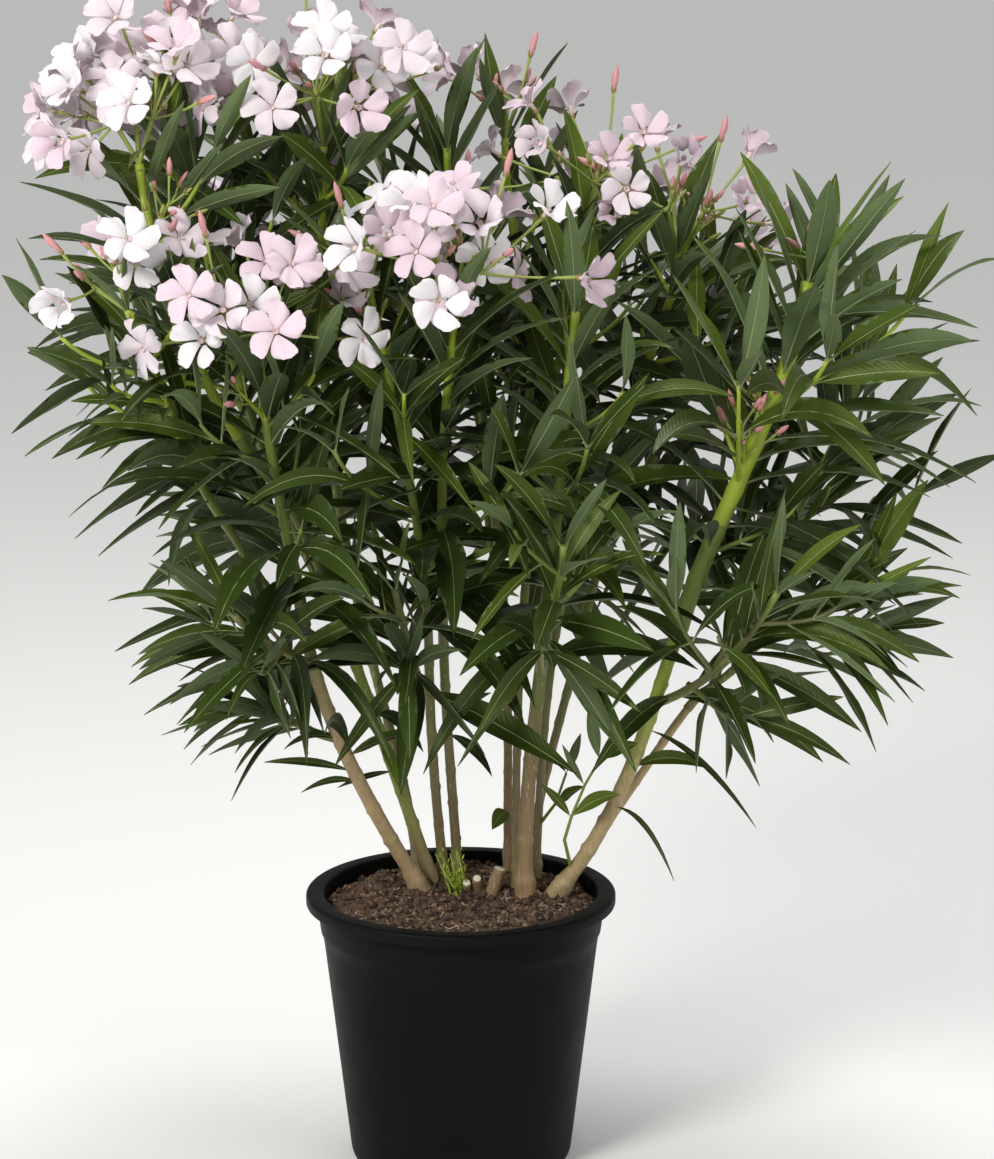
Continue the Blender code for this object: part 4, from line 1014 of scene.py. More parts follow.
class Blade:
    """A leaf's own bend: where its middle runs, and which way is across and up at a share."""

    def __init__(self, leaf, rng):
        self.leaf = leaf
        self.curl = rng.uniform(-0.12, 0.12)
        self.twist = rng.uniform(-0.75, 0.75)
        self.sag = (0.06 + 0.95 * rng.random() ** 1.5) * (1.08 - leaf.heading.z ** 2)
        self.fold = math.radians(rng.uniform(9.0, 26.0))
        self.wave = rng.uniform(0.0, 0.16)
        self.phase = rng.uniform(0.0, 6.28)
        self.side = leaf.across.normalized()

    def middle(self, share):
        """The middle of the leaf at a share of its length."""
        leaf = self.leaf
        sag = self.sag * (0.46 * share - 0.5 * share ** 2)
        drop = Vector((0.0, 0.0, sag - 0.5 * leaf.droop * share ** 2))
        return leaf.root + (leaf.heading * share + drop
                            + self.side * (self.curl * share ** 2)) * leaf.length

    def axes(self, share):
        """The directions across and up from the leaf at a share of its length."""
        step = 0.02
        direction = (self.middle(share + step) - self.middle(share - step)).normalized()
        across = square_to(direction, self.leaf.across)
        up = direction.cross(across)
        if up.z < 0.0:
            across, up = -across, -up
        turned_by = Matrix.Rotation(self.twist * share, 3, direction)
        return turned_by @ across, turned_by @ up


def add_blade(blade, upper, under, rib):
    """The blade's upper skin, its paler under skin, and the midrib with its short stalk."""
    leaf = blade.leaf
    tops, belows, uvs = [], [], []
    for k in range(LEAF_STATIONS):
        t = k / (LEAF_STATIONS - 1)
        share = BLADE_START + (1.0 - BLADE_START) * t
        across, up = blade.axes(share)
        middle = blade.middle(share)
        half = 0.5 * leaf.width * lance(t) + BLADE_EDGE
        ripple = blade.wave * math.sin(blade.phase + 11.0 * t) * half
        row = []
        for v in BLADE_ACROSS:
            out = abs(v)
            lift = half * math.sin(blade.fold) * (out ** 1.3) \
                + ripple * out * out * (1 if v > 0 else -1)
            row.append(middle + across * (v * half * math.cos(blade.fold)) + up * lift)
            uvs.append((share * leaf.length * 10.0, out))
        tops.append(row)
        sunk = [point - up * BLADE_THICKNESS for point in row[1:-1]]
        belows.append([row[-1], *reversed(sunk), row[0]])
    upper.grid(tops, uvs=uvs)
    under.grid(belows, uvs=uvs)
    rings = []
    for k in range(RIB_STATIONS):
        share = 0.96 * k / (RIB_STATIONS - 1)
        across, up = blade.axes(share)
        middle = blade.middle(share)
        size = leaf.width / USUAL_WIDTH
        half = RIB_HALF * size * (1.0 - 0.74 * share) + (0.0006 * size if k == 0 else 0.0)
        above = BLADE_THICKNESS * (0.9 if k else 2.4)
        rings.append([middle + across * half, middle + up * above, middle - across * half,
                      middle - up * (half * 1.1 + BLADE_THICKNESS)])
    rib.grid(rings, closed=True)


def add_tube(heap, path, radii, sides, tip_point=False):
    """A round limb through points, with a closed tip."""
    rings = [[point + out * radius for out in spokes(side, other, sides)]
             for point, radius, (_, side, other) in zip(path, radii, frames(path))]
    onward = (path[-1] - path[-2]).normalized()
    heap.limb(rings, path[-1] + onward * (radii[-1] * 0.6 if tip_point else 0.0))


def petal_rows(size, rng):
    """A petal in its own frame: along the radius, across, and up. It is fan shaped with one
    fuller side, and its outer edge turns over a little."""
    lean = rng.uniform(0.9, 1.3)
    cup = rng.uniform(0.10, 0.22)
    turn_over = rng.uniform(0.05, 0.22)
    ripple = rng.uniform(0.02, 0.085)
    phase = rng.uniform(0.0, 6.28)
    rows, uvs = [], []
    for u, half in PETAL_OUTLINE:
        row = []
        for v in PETAL_ACROSS:
            fuller = 1.0 + 0.20 * v
            along_it = (u - 0.10 * v * v * u + 0.06 * v * u
                        + 0.025 * math.sin(phase + 6.0 * v) * u ** 3)
            across = half * 0.50 * v * fuller + 0.13 * u * u * lean
            up = (-0.22 * (1.0 - u) ** 3 + cup * v * u * 0.7 - turn_over * u ** 3 * 0.5
                  + ripple * math.sin(phase + 4.0 * v) * u - 0.05 * v * v)
            row.append(Vector((along_it, across, up)) * size)
            uvs.append((u, 0.5 + 0.5 * v))
        rows.append(row)
    return rows, uvs


def add_flower(flower, petals, closed, rng):
    """Five petals over a funnel, with a fringe in the throat and five sepals under it."""
    backs, throats = heap_of("petals_back"), heap_of("flower_throats")
    aside = anywhere(rng, 0.34)
    if flower.base.y < SHADED_BEYOND:
        aside += TO_LIGHT
    facing = (flower.facing + aside).normalized()
    towards = (flower.base - flower.root).normalized()
    side, other = square_pair(facing, towards if abs(towards.dot(facing)) < 0.99
                              else Vector((1, 0, 0)))
    mouth = flower.base + facing * (FLOWER_DEPTH - 0.0015)
    opening = closed - 0.06 + 0.85 * rng.random() ** 2.4
    spin = flower.spin + rng.uniform(0.0, 1.2)
    for k in range(5):
        angle = spin + 2.0 * math.pi * k / 5.0 + rng.uniform(-0.07, 0.07)
        out = turned(side, other, angle)
        cross = facing.cross(out)
        rows, uvs = petal_rows(PETAL_LENGTH * (1.0 - 0.35 * closed) * rng.uniform(0.93, 1.07), rng)
        rise = opening + rng.uniform(-0.10, 0.14)
        lifted = turned(out, facing, rise)
        upward = facing * math.cos(rise) - out * math.sin(rise)
        root = mouth + out * THROAT_RADIUS

        def put(p, drop):
            """A point of the petal's own frame, moved down by drop, in the plant's frame."""
            return root + lifted * p.x + cross * p.y + upward * (p.z - drop)

        petals.grid([[put(p, 0.0) for p in row] for row in rows], uvs=uvs)
        backs.grid([[put(p, PETAL_THICKNESS) for p in reversed(row)] for row in rows],
                   uvs=[(u, 1.0 - v) for u, v in uvs])
        for j in (-1, 0, 1):
            foot = mouth + out * THROAT_RADIUS - facing * 0.0038 + cross * (0.0008 * j)
            tip = foot + facing * rng.uniform(0.0016, 0.0028) + out * 0.0010 + cross * (0.0006 * j)
            throats.add([foot - cross * 0.0004, foot + cross * 0.0004, tip],
                        [(0, 1, 2), (2, 1, 0)])
    rings, around = [], spokes(side, other, 10)
    for radius, height in TUBE_PROFILE:
        centre = mouth + facing * (TUBE_LENGTH * height)
        centre = centre.lerp(flower.base, 0.85) if height == -1.0 else centre
        rings.append([centre + out * radius for out in around])
    heap_of("flower_tubes").grid(rings, closed=True)
    floor = [mouth - facing * 0.0040 + out * 0.0018 for out in around]
    throats.add(floor + [mouth - facing * 0.0070], [(s, (s + 1) % 10, 10) for s in range(10)])
    add_sepals(flower.base - towards * 0.0008, (facing + towards).normalized(), 0.0056, rng)


def add_sepals(foot, direction, length, rng):
    """Five narrow pointed sepals hugging the foot of a flower or a bud."""
    side, other = square_pair(direction, Vector((0.3, 0.2, 1.0)))
    spin = rng.uniform(0.0, 6.28)
    for k in range(5):
        out = turned(side, other, spin + 2.0 * math.pi * k / 5.0)
        across = direction.cross(out)
        low = foot + out * 0.0010
        swell = foot + direction * length * 0.42 + out * 0.0022
        tip = foot + direction * length + out * rng.uniform(0.0016, 0.0030)
        corners = [low - across * 0.0007, low + across * 0.0007, swell - across * 0.0008,
                   swell + across * 0.0008, tip]
        heap_of("sepals").add(corners + [c - out * 0.0003 for c in corners],
                              [(0, 1, 3, 2), (2, 3, 4), (5, 7, 8, 6), (7, 9, 8), (0, 2, 7, 5),
                               (1, 6, 8, 3), (2, 4, 9, 7), (3, 8, 9, 4)])


def add_bud(heap, base, direction, length, radius, rng):
    """A spindle bud with its petals wound round it, and its sepals."""
    side, other = square_pair(direction, Vector((0.2, 0.1, 1.0)))
    rings = []
    for share, full in BUD_PROFILE:
        row = []
        for s in range(10):
            angle = 2.0 * math.pi * s / 10 + 2.2 * share
            fluted = 1.0 + (0.12 if s % 2 else -0.06) * (share > 0.2)
            out = turned(side, other, angle)
            row.append(base + direction * length * share + out * radius * full * fluted)
        rings.append(row)
    heap.grid(rings, closed=True)
    add_sepals(base - direction * 0.0005, direction, length * 0.24 + 0.001, rng)


def wood_look(name, stops, roughness, bump):
    """Bark that greens with height, with lengthwise streaks and pale specks."""
    look = Look(name, (0.3, 0.25, 0.15), roughness)
    height = look.node("SeparateXYZ", {"Vector": look.place})["Z"]
    uneven = look.node("Math", {0: look.noise(38.0, 3.0, 0.6, look.place), 1: 0.10, 2: height},
                       operation="MULTIPLY_ADD")
    colour = look.ramp(uneven["Value"], *stops)
    stretched = look.scaled(look.place, (1.0, 1.0, 0.22))
    streaks = look.noise(420.0, 4.0, 0.65, stretched)
    shade = look.ramp(streaks, (0.25, (0.62, 0.58, 0.50)), (0.70, (1.12, 1.10, 1.05)))
    mottled = look.node("Mix", {0: 0.75, 6: colour, 7: shade}, data_type="RGBA",
                        blend_type="MULTIPLY")
    dots = look.node("TexVoronoi", {"Scale": 260.0, "Vector": stretched})
    specks = look.ramp(dots["Distance"], (0.10, (1.0, 1.0, 1.0)), (0.20, (0.0, 0.0, 0.0)))
    flecked = look.node("Mix", {0: specks, 6: mottled[2], 7: (0.45, 0.37, 0.23, 1.0)},
                        data_type="RGBA")
    look.feed(look.shader, {"Base Color": flecked[2]})
    look.bump(streaks, bump, 0.0010)
    return look.made


def scar_lift(angle, near):
    """How far the leaf scars of the nearest nodes lift the bark, at an angle round the limb."""
    lift = 0.0
    for gap, turn, ahead in near:
        if gap < SCAR_REACH:
            past = ((ahead + 0.0008) / 0.0019) ** 2
            for leaf in range(LEAVES_PER_WHORL):
                off = (angle - turn - THIRD_TURN * leaf + math.pi) % (2 * math.pi) - math.pi
                lift += SCAR_HEIGHT * math.exp(-(off / 0.42) ** 2 - past)
    return lift


def bark_limb(heap, curve, start_radius, end_radius, rng, foot_flare, sides=18,
              nodes_every=0.028, scaly=1.0, swelling=0.011, knob=0.0):
    """A limb with relief: swollen nodes with leaf scars, and a rough skin with furrows."""
    length = sum((curve((k + 1) / 24) - curve(k / 24)).length for k in range(24))
    count = max(6, int(length / BARK_STEP))
    path = along(curve, count)
    leaving = (path[1] - path[0]).normalized()
    path.insert(0, path[0] - leaving * BARK_SINK)
    scars, at = [], rng.uniform(0.010, 0.024)
    while at < length - SCAR_REACH:
        scars.append((at, rng.uniform(0.0, 6.28)))
        at += nodes_every * rng.uniform(0.75, 1.30)
    rings = []
    for k, (point, (_, side, other)) in enumerate(zip(path, frames(path, leaving=leaving))):
        share = max(0, k - 1) / count
        far = share * length
        base = start_radius + (end_radius - start_radius) * share
        base *= 1.0 + foot_flare * math.exp(-(far / swelling) ** 1.5)
        base *= 1.0 + knob * math.exp(-((far - KNOB_HEIGHT) / KNOB_SPREAD) ** 2)
        gnarled = scaly * (1.0 + 18.0 * knob * math.exp(-far / 0.014))
        near = [(abs(far - scar), turn, far - scar) for scar, turn in scars]
        swell = sum(NODE_SWELL * math.exp(-(gap / NODE_WIDTH) ** 2) for gap, _, _ in near)
        ring = []
        for s in range(sides):
            angle = 2.0 * math.pi * s / sides
            out = turned(side, other, angle)
            spot = point * 95.0 + out * 0.9
            rough = noise.noise(spot) * 0.035 + noise.noise(spot * 3.1) * 0.035
            furrow = noise.noise(Vector((math.cos(angle) * 2.4, math.sin(angle) * 2.4,
                                         far * 34.0 + point.x * 50.0)))
            lump = 1.0 + swell + scar_lift(angle, near) + gnarled * (rough + 0.035 * furrow)
            ring.append(point + out * base * lump)
        rings.append(ring)
    heap.limb(rings, path[-1])


# --- Pot and soil as meshes: their sides, and each kind of crumb's colour, count and sizes ---
POT_SIDES, POT_SHARP_ANGLE, MOUTH_ROUND = 144, math.radians(42.0), 0.0022
SOIL_SIDES, SOIL_RINGS, SOIL_HUB, ROOTLETS = 160, 52, 0.0008, 26
CRUMBS = (("soil_crumbs_dark", (0.030, 0.019, 0.012), 1000, (0.0010, 0.0042)),
          ("soil_crumbs_brown", (0.105, 0.064, 0.038), 1600, (0.0010, 0.0050)),
          ("soil_crumbs_tan", (0.225, 0.150, 0.095), 1200, (0.0009, 0.0036)),
          ("soil_chips_red", (0.110, 0.045, 0.025), 170, (0.0020, 0.0046)),
          ("soil_bits_pale", (0.520, 0.450, 0.360), 130, (0.0007, 0.0020)))


def circle(radius, count):
    """The x and y of points round a circle."""
    return [(radius * math.cos(a), radius * math.sin(a))
            for a in (2.0 * math.pi * s / count for s in range(count))]


def pot_rows():
    """The pot's section, from the middle of its floor over the lip to the middle of its foot."""
    top, under = POT_HEIGHT, POT_HEIGHT - LIP_THICKNESS
    rows = [(0.0005, FLOOR_TOP), (INNER_FOOT_RADIUS - 0.002, FLOOR_TOP),
            (INNER_FOOT_RADIUS, FLOOR_TOP + 0.002)]
    for k in range(1, 14):
        height = FLOOR_TOP + (top - LIP_ROUND - FLOOR_TOP) * k / 13.0
        rows.append((inner_radius(height), height))
    for k in range(1, 6):
        angle = 0.5 * math.pi * k / 5
        rows.append((MOUTH_RADIUS + MOUTH_ROUND - MOUTH_ROUND * math.cos(angle),
                     top - MOUTH_ROUND + MOUTH_ROUND * math.sin(angle)))
    rows.append((0.5 * (MOUTH_RADIUS + LIP_RADIUS), top + 0.0001))
    for k in range(8):
        angle = 0.5 * math.pi * k / 7
        rows.append((LIP_RADIUS - LIP_ROUND + LIP_ROUND * math.sin(angle),
                     top - LIP_ROUND + LIP_ROUND * math.cos(angle)))
    rows += [(LIP_RADIUS, under + 0.0014), (LIP_RADIUS - 0.0004, under + 0.0004),
             (LIP_RADIUS - 0.0014, under)]
    collar = wall_radius(under) + COLLAR_STEP
    rows += [(collar + 0.0012, under), (collar + 0.0003, under - 0.0004), (collar, under - 0.0014)]
    for k in range(1, 5):
        height = under - (under - COLLAR_BOTTOM - COLLAR_STEP) * k / 5.0
        rows.append((wall_radius(height) + COLLAR_STEP, height))
    step = wall_radius(COLLAR_BOTTOM)
    rows += [(step + COLLAR_STEP, COLLAR_BOTTOM + 0.0012), (step + 0.0011, COLLAR_BOTTOM + 0.0002),
             (step + 0.0002, COLLAR_BOTTOM - 0.0006)]
    for k in range(1, 16):
        height = COLLAR_BOTTOM - (COLLAR_BOTTOM - FOOT_HEIGHT) * k / 16.0
        rows.append((wall_radius(height), height))
    rows += [(BODY_FOOT_RADIUS, FOOT_HEIGHT), (BODY_FOOT_RADIUS - 0.0005, 0.0040),
             (FOOT_RADIUS, 0.0008), (FOOT_RADIUS - 0.0008, 0.0), (RECESS_OUTER_RADIUS, 0.0),
             (RECESS_OUTER_RADIUS - 0.0006, 0.0006),
             (RECESS_OUTER_RADIUS - RECESS_HEIGHT, RECESS_HEIGHT),
             (PAD_RADIUS + RECESS_HEIGHT, RECESS_HEIGHT), (PAD_RADIUS + 0.0006, 0.0006),
             (PAD_RADIUS, 0.0), (0.0005, 0.0)]
    return rows


def pot_look():
    """Black moulded plastic: a little cloudy, worn in places, and finely grained."""
    look = Look("pot_plastic", (0.0040, 0.0040, 0.0042), 0.52)
    cloudy = look.ramp(look.noise(9.0, 5.0, 0.6, look.place),
                       (0.30, (0.0030, 0.0030, 0.0032)), (0.72, (0.0056, 0.0056, 0.0058)))
    worn = look.ramp(look.noise(26.0, 6.0, 0.7, look.place),
                     (0.30, (0.46, 0.46, 0.46)), (0.75, (0.60, 0.60, 0.60)))
    look.feed(look.shader, {"Specular IOR Level": 0.07, "Base Color": cloudy, "Roughness": worn})
    look.bump(look.noise(1500.0, 2.0, 0.5, look.place), 0.10, 0.0004)
    return look.made


def pot_cutter():
    """Round bars where the drain holes and the notches in the foot are cut."""
    cutter = bmesh.new()

    def bar(radius, length, sides, place):
        bmesh.ops.create_cone(cutter, cap_ends=True, segments=sides, radius1=radius,
                              radius2=radius, depth=length, matrix=place)

    for k in range(DRAIN_HOLES):
        angle = 2.0 * math.pi * (k + 0.5) / DRAIN_HOLES
        outward = Vector((math.cos(angle), math.sin(angle), 0.0))
        bar(DRAIN_RADIUS, 4.0 * FLOOR_TOP, 28, Matrix.Translation(outward * DRAIN_CIRCLE))
        middle = outward * (0.5 * (RECESS_OUTER_RADIUS + FOOT_RADIUS))
        bar(NOTCH_RADIUS, NOTCH_LENGTH, 20, Matrix.Translation(middle)
            @ Matrix.Rotation(angle, 4, "Z") @ Matrix.Rotation(0.5 * math.pi, 4, "Y"))
    mesh = bpy.data.meshes.new("drains")
    cutter.to_mesh(mesh)
    cutter.free()
    return show("drains", mesh)


def add_pot():
    """The moulded pot, round and smooth, with its drain holes and foot notches cut through."""
    heap = Heap()
    heap.body([[(x, y, z) for x, y in circle(r, POT_SIDES)] for r, z in reversed(pot_rows())],
              (0.0, 0.0, 0.0), (0.0, 0.0, FLOOR_TOP))
    made = heap.object("nursery_pot", pot_look(), "pot")
    drains = pot_cutter()
    cut = made.modifiers.new("Drains", "BOOLEAN")
    cut.operation, cut.solver, cut.object = "DIFFERENCE", "EXACT", drains
    graph = bpy.context.evaluated_depsgraph_get()
    fused = bpy.data.meshes.new_from_object(made.evaluated_get(graph))
    made.modifiers.clear()
    made.data = fused
    fused.shade_smooth()
    fused.set_sharp_from_angle(angle=POT_SHARP_ANGLE)
    bpy.data.objects.remove(drains)
    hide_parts("pot")


def soil_height(x, y):
    """The soil's surface: level round the canes, lower at the wall, lumpy all over."""
    r = math.hypot(x, y)
    edge = max(0.0, (r - 0.080) / 0.0255)
    level = SOIL_LEVEL - (SOIL_LEVEL - SOIL_EDGE_LEVEL) * min(1.0, edge) ** 1.5
    heap_up = 0.0035 * math.exp(-((x - 0.010) ** 2 + (y - 0.020) ** 2) / 0.0028)
    spot = Vector((x, y, 0.0))
    lumps = noise.noise(spot * 55.0) * 0.0040 + noise.noise(spot * 150.0) * 0.0030
    fine = noise.noise(spot * 380.0) * 0.0012
    return level + heap_up * 0.6 + lumps + fine - 0.0004


def soil_look():
    """Dark crumbly soil in three browns."""
    look = Look("soil_skin", (0.05, 0.03, 0.02), 0.95)
    look.feed(look.shader, {"Base Color": look.ramp(
        look.noise(210.0, 8.0, 0.7, look.place), (0.30, (0.024, 0.015, 0.009)),
        (0.52, (0.088, 0.054, 0.032)), (0.72, (0.200, 0.134, 0.085)))})
    look.bump(look.noise(900.0, 6.0, 0.7, look.place), 0.8, 0.0015)
    return look.made


def add_soil():
    """Potting mix: a lumpy skin under loose crumbs, bark chips, pale bits and rootlets."""
    reach = inner_radius(SOIL_EDGE_LEVEL) - 0.0002
    rows = []
    for k in range(SOIL_RINGS + 1):
        r = SOIL_HUB + (reach - SOIL_HUB) * k / SOIL_RINGS
        rows.append([(x, y, soil_height(x, y)) for x, y in circle(r, SOIL_SIDES)])
    low = FLOOR_TOP + 0.001
    rows.append([(x, y, low) for x, y in circle(inner_radius(low) - 0.0004, SOIL_SIDES)])
    skin = Heap()
    skin.body(rows, (0.0, 0.0, soil_height(0.0, 0.0)), (0.0, 0.0, low))
    made = skin.object("soil_skin", soil_look(), "soil")
    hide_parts("soil")
    rng = random.Random("crumbs")
    for name, tone, count, sizes in CRUMBS:
        heap = Heap()
        for _ in range(count):
            r = (reach - 0.0012) * math.sqrt(rng.random())
            a = rng.uniform(0.0, 2.0 * math.pi)
            x, y = r * math.cos(a), r * math.sin(a)
            size = rng.uniform(*sizes) * (0.5 + 0.7 * rng.random())
            add_crumb(heap, Vector((x, y, soil_height(x, y) + size * 0.22)), size,
                      0.35 if "chips" in name else 0.75, rng)
        heap.object(name, grain_look(name, tone, 0.92, 1400.0, 0.6, 0.0006), "soil", smooth=False)
    rootlets = Heap()
    for _ in range(ROOTLETS):
        add_rootlet(rootlets, reach, rng)
    rootlets.object("soil_rootlets", grain_look("soil_rootlets", (0.420, 0.340, 0.230), 0.8,
                                                900.0, 0.4, 0.0004), "soil")


def add_rootlet(heap, reach, rng):
    """A thin straw that lies on the soil, where it doesn't run into the wall."""
    r = (reach - 0.012) * math.sqrt(rng.random())
    a, turn = rng.uniform(0.0, 6.28), rng.uniform(0.0, 6.28)
    length = rng.uniform(0.006, 0.020)
    points = []
    for k in range(6):
        bend = turn + 0.5 * math.sin(k * 0.8 + a)
        x = r * math.cos(a) + length * (k / 5.0) * math.cos(bend)
        y = r * math.sin(a) + length * (k / 5.0) * math.sin(bend)
        if math.hypot(x, y) > reach - 0.003:
            break
        points.append(Vector((x, y, soil_height(x, y) + 0.0012)))
    if len(points) > 2:
        add_tube(heap, points, [rng.uniform(0.0003, 0.0007)] * len(points), 5)


def add_crumb(heap, centre, size, flat, rng):
    """A small rough lump with six corners."""
    turn = Matrix.Rotation(rng.uniform(0.0, 6.28), 3, "Z") \
        @ Matrix.Rotation(rng.uniform(-0.6, 0.6), 3, "X")
    corners = []
    for x, y, z in ((1, 0, 0), (-1, 0, 0), (0, 1, 0), (0, -1, 0), (0, 0, 1), (0, 0, -1)):
        stretch = size * rng.uniform(0.55, 1.15)
        corners.append(centre + turn @ Vector((x * stretch, y * stretch * 0.8, z * stretch * flat)))
    heap.add(corners, [(0, 2, 4), (2, 1, 4), (1, 3, 4), (3, 0, 4), (2, 0, 5), (1, 2, 5),
                       (3, 1, 5), (0, 3, 5)])


# --- Shoots that differ: the heights where a stem's tone changes and their shift, how stout a
# stem is at its foot and tip, its leaves' tone, a shift along their painted light and shade,
# and their breadth, and its head's share of added flowers, their tone, real pink on some heads
# and a painted shade towards lilac at the back and top, and how closed they are ---
STEM_CHANGE = (0.470, 0.600)
STEM_SHIFT = {"mass_right": -0.09, "mass_left_outer": -0.02}
STOUT = {"mass_right": (1.45, 2.00), "mass_left_outer": (1.2, 1.25), "mass_centre": (1.2, 1.3),
         "mass_middle": (1.1, 1.2), "mass_left_front": (1.1, 1.3), "mass_left_top": (1.0, 1.1)}
# Shifts each shoot's leaves along their painted light and shade; the back shoot gets a deeper painted shade
TONE_BIAS = {"mass_right": 0.7, "mass_centre": 0.5, "mass_right_front": 0.3,
             "mass_centre_low": 0.2, "mass_back": -0.2}
SIDE_STEM_TIP, STEM_SINK = 0.0015, 0.005
FLOWER_TRIES = 40
SHORTEST_STALK, LONGEST_STALK = 0.018, 0.046
USUAL_HEAD = (0.85, 0.0, 0.0)
HEADS = {
    "mass_left_outer": (1.9, 0.2, 0.0), "mass_left_top": (1.6, 0.3, 0.0),
    "mass_left_front": (0.8, 0.0, 0.0), "mass_left_side": (0.4, -0.5, 0.1),
    "mass_middle": (1.0, 0.1, 0.0), "mass_centre_top": (0.1, 1.5, 0.40),
    "mass_right_top": (0.0, 1.7, 0.45), "mass_top_bloom": (0.4, 1.5, 0.2),
    "mass_back_right": (0.4, 1.2, 0.1), "mass_back_right_top": (0.8, 1.2, 0.1),
    "mass_back_top": (0.8, 0.8, 0.0), "mass_back": (0.8, 0.8, 0.0),
    "mass_back_left": (0.8, 0.8, 0.0),
}
BROAD = {"mass_right": 1.12, "mass_right_top": 1.10, "mass_middle": 1.12, "mass_middle_low": 1.14,
         "mass_centre": 1.10, "mass_centre_low": 1.12, "mass_left_front": 1.06,
         "mass_left_low": 0.92, "mass_left_foot": 0.84}


def stem_radii(start, end, count, rng):
    """A stem's radii: a quick taper at its foot, and a slight swelling at each whorl."""
    radii = []
    for k in range(count + 1):
        share = k / count
        radius = end + (start - end) * (1.0 - share) ** 1.35
        radii.append(radius * (1.0 + 0.10 * (k % 4 == 0) + rng.uniform(-0.02, 0.02)))
    return radii


def add_stem(curve, radii, shift, sides):
    """A green stem in stretches of its own tones: olive low down and lime near the tip."""
    count = len(radii) - 1
    runs, tone = [], -1
    for k in range(count + 1):
        height = curve(k / count).z - shift
        here = max(tone, 0, sum(height > change for change in STEM_CHANGE))
        if here != tone:
            runs.append((here, max(0, k - 1)))
            tone = here
    ends = [first for _, first in runs[1:]] + [count]
    for (here, first), last in zip(runs, ends):
        if last <= first:
            continue
        path = along(curve, count)[first:last + 1]
        if first == 0:
            path[0] = path[0] - (path[1] - path[0]).normalized() * STEM_SINK
        add_tube(heap_of("stems_" + STEM_TONES[here]), path, radii[first:last + 1], sides)


def add_leaf(leaf, tone, rng):
    """A leaf in the heaps of its tone: its blade, its under side and its midrib."""
    add_blade(Blade(leaf, rng), heap_of("leaves_" + LEAF_TONES[tone]),
              heap_of("undersides_" + UNDER_TONES[tone > 1]),
              heap_of("midribs_" + RIB_TONES[tone > 0]))


def tone_of(height_share, mass_name, point, rng):
    """Which green a leaf is dealt: a deeper painted shade low in the crown and near its middle, brighter
    painted light at the shoots' tips and towards the crown's outside, where young leaves are also lighter.
    """
    outward = max(0.0, (point - CROWN_CENTRE).length - 0.16)
    value = (0.55 + 2.1 * height_share ** 1.6 + TONE_BIAS.get(mass_name, 0.0) + 1.6 * outward
             + rng.uniform(-0.75, 0.75))
    return min(len(LEAF_TONES) - 1, max(0, int(value)))


def main_growth():
    """Grows the shrub by its solids' rule: every limb, then all that finds room on it. A limb
    is kept as its arc and its faces, for its own children to sit on."""
    space, limbs, grown = Space(), {}, {}
    on_tip = Counter(child.parent for child in BOUGHS + MASSES if child.share >= 1.0)
    for name in ("pot", "soil"):
        mesh = frame["nodes"][name].data
        space.add(name, [v.co for v in mesh.vertices], [tuple(p.vertices) for p in mesh.polygons])
    for limb in CANES + BOUGHS:
        if isinstance(limb, Cane):
            curve, body = grow_cane(limb)
        else:
            curve, body = grow_bough(limb, limbs[limb.parent], on_tip[limb.parent])
        solid = tube(body)
        limbs[limb.name] = curve, tree_of(*solid)
        space.add(limb.name, *solid)
    for mass in MASSES:
        grown[mass.name] = grow_mass(mass, limbs[mass.parent], on_tip[mass.parent])
        space.add(mass.name, *tube(grown[mass.name].axis))
    for mass in MASSES:
        for twig in grown[mass.name].twigs:
            space.take(mass.name, *tube(twig))
    for kind, number, solid_of in (("flowers", 3, flower_solid), ("buds", 4, bud_solid),
                                   ("leaves", 2, leaf_solid)):
        for mass in MASSES:
            rng = random.Random(f"{mass.name} {number}")
            tried = [place(piece, solid_of, mass.name, space, rng)
                     for piece in getattr(grown[mass.name], kind)]
            placed = [piece for piece in tried if piece]
            grown[mass.name] = grown[mass.name]._replace(**{kind: placed})
    return space, limbs, on_tip, grown


def add_axis(mass, shoot, alone, rng):
    """The shoot's main stem and its side stems, in green skin."""
    low_stout, high_stout = STOUT.get(mass.name, (1.0, 1.0))
    shift = STEM_SHIFT.get(mass.name, 0.0)
    foot = STEM_FOOT
    if alone:
        foot = max(foot, TIP_RADIUS[mass.parent])
    count = max(12, int((shoot.curve(1.0) - shoot.curve(0.0)).length / 0.009))
    radii = stem_radii(foot * low_stout, STEM_TIP * high_stout, count, rng)
    add_stem(shoot.curve, radii, shift, 9)
    for side_curve in shoot.side_curves:
        add_stem(side_curve, stem_radii(SIDE_STEM, SIDE_STEM_TIP, 12, rng), shift, 7)


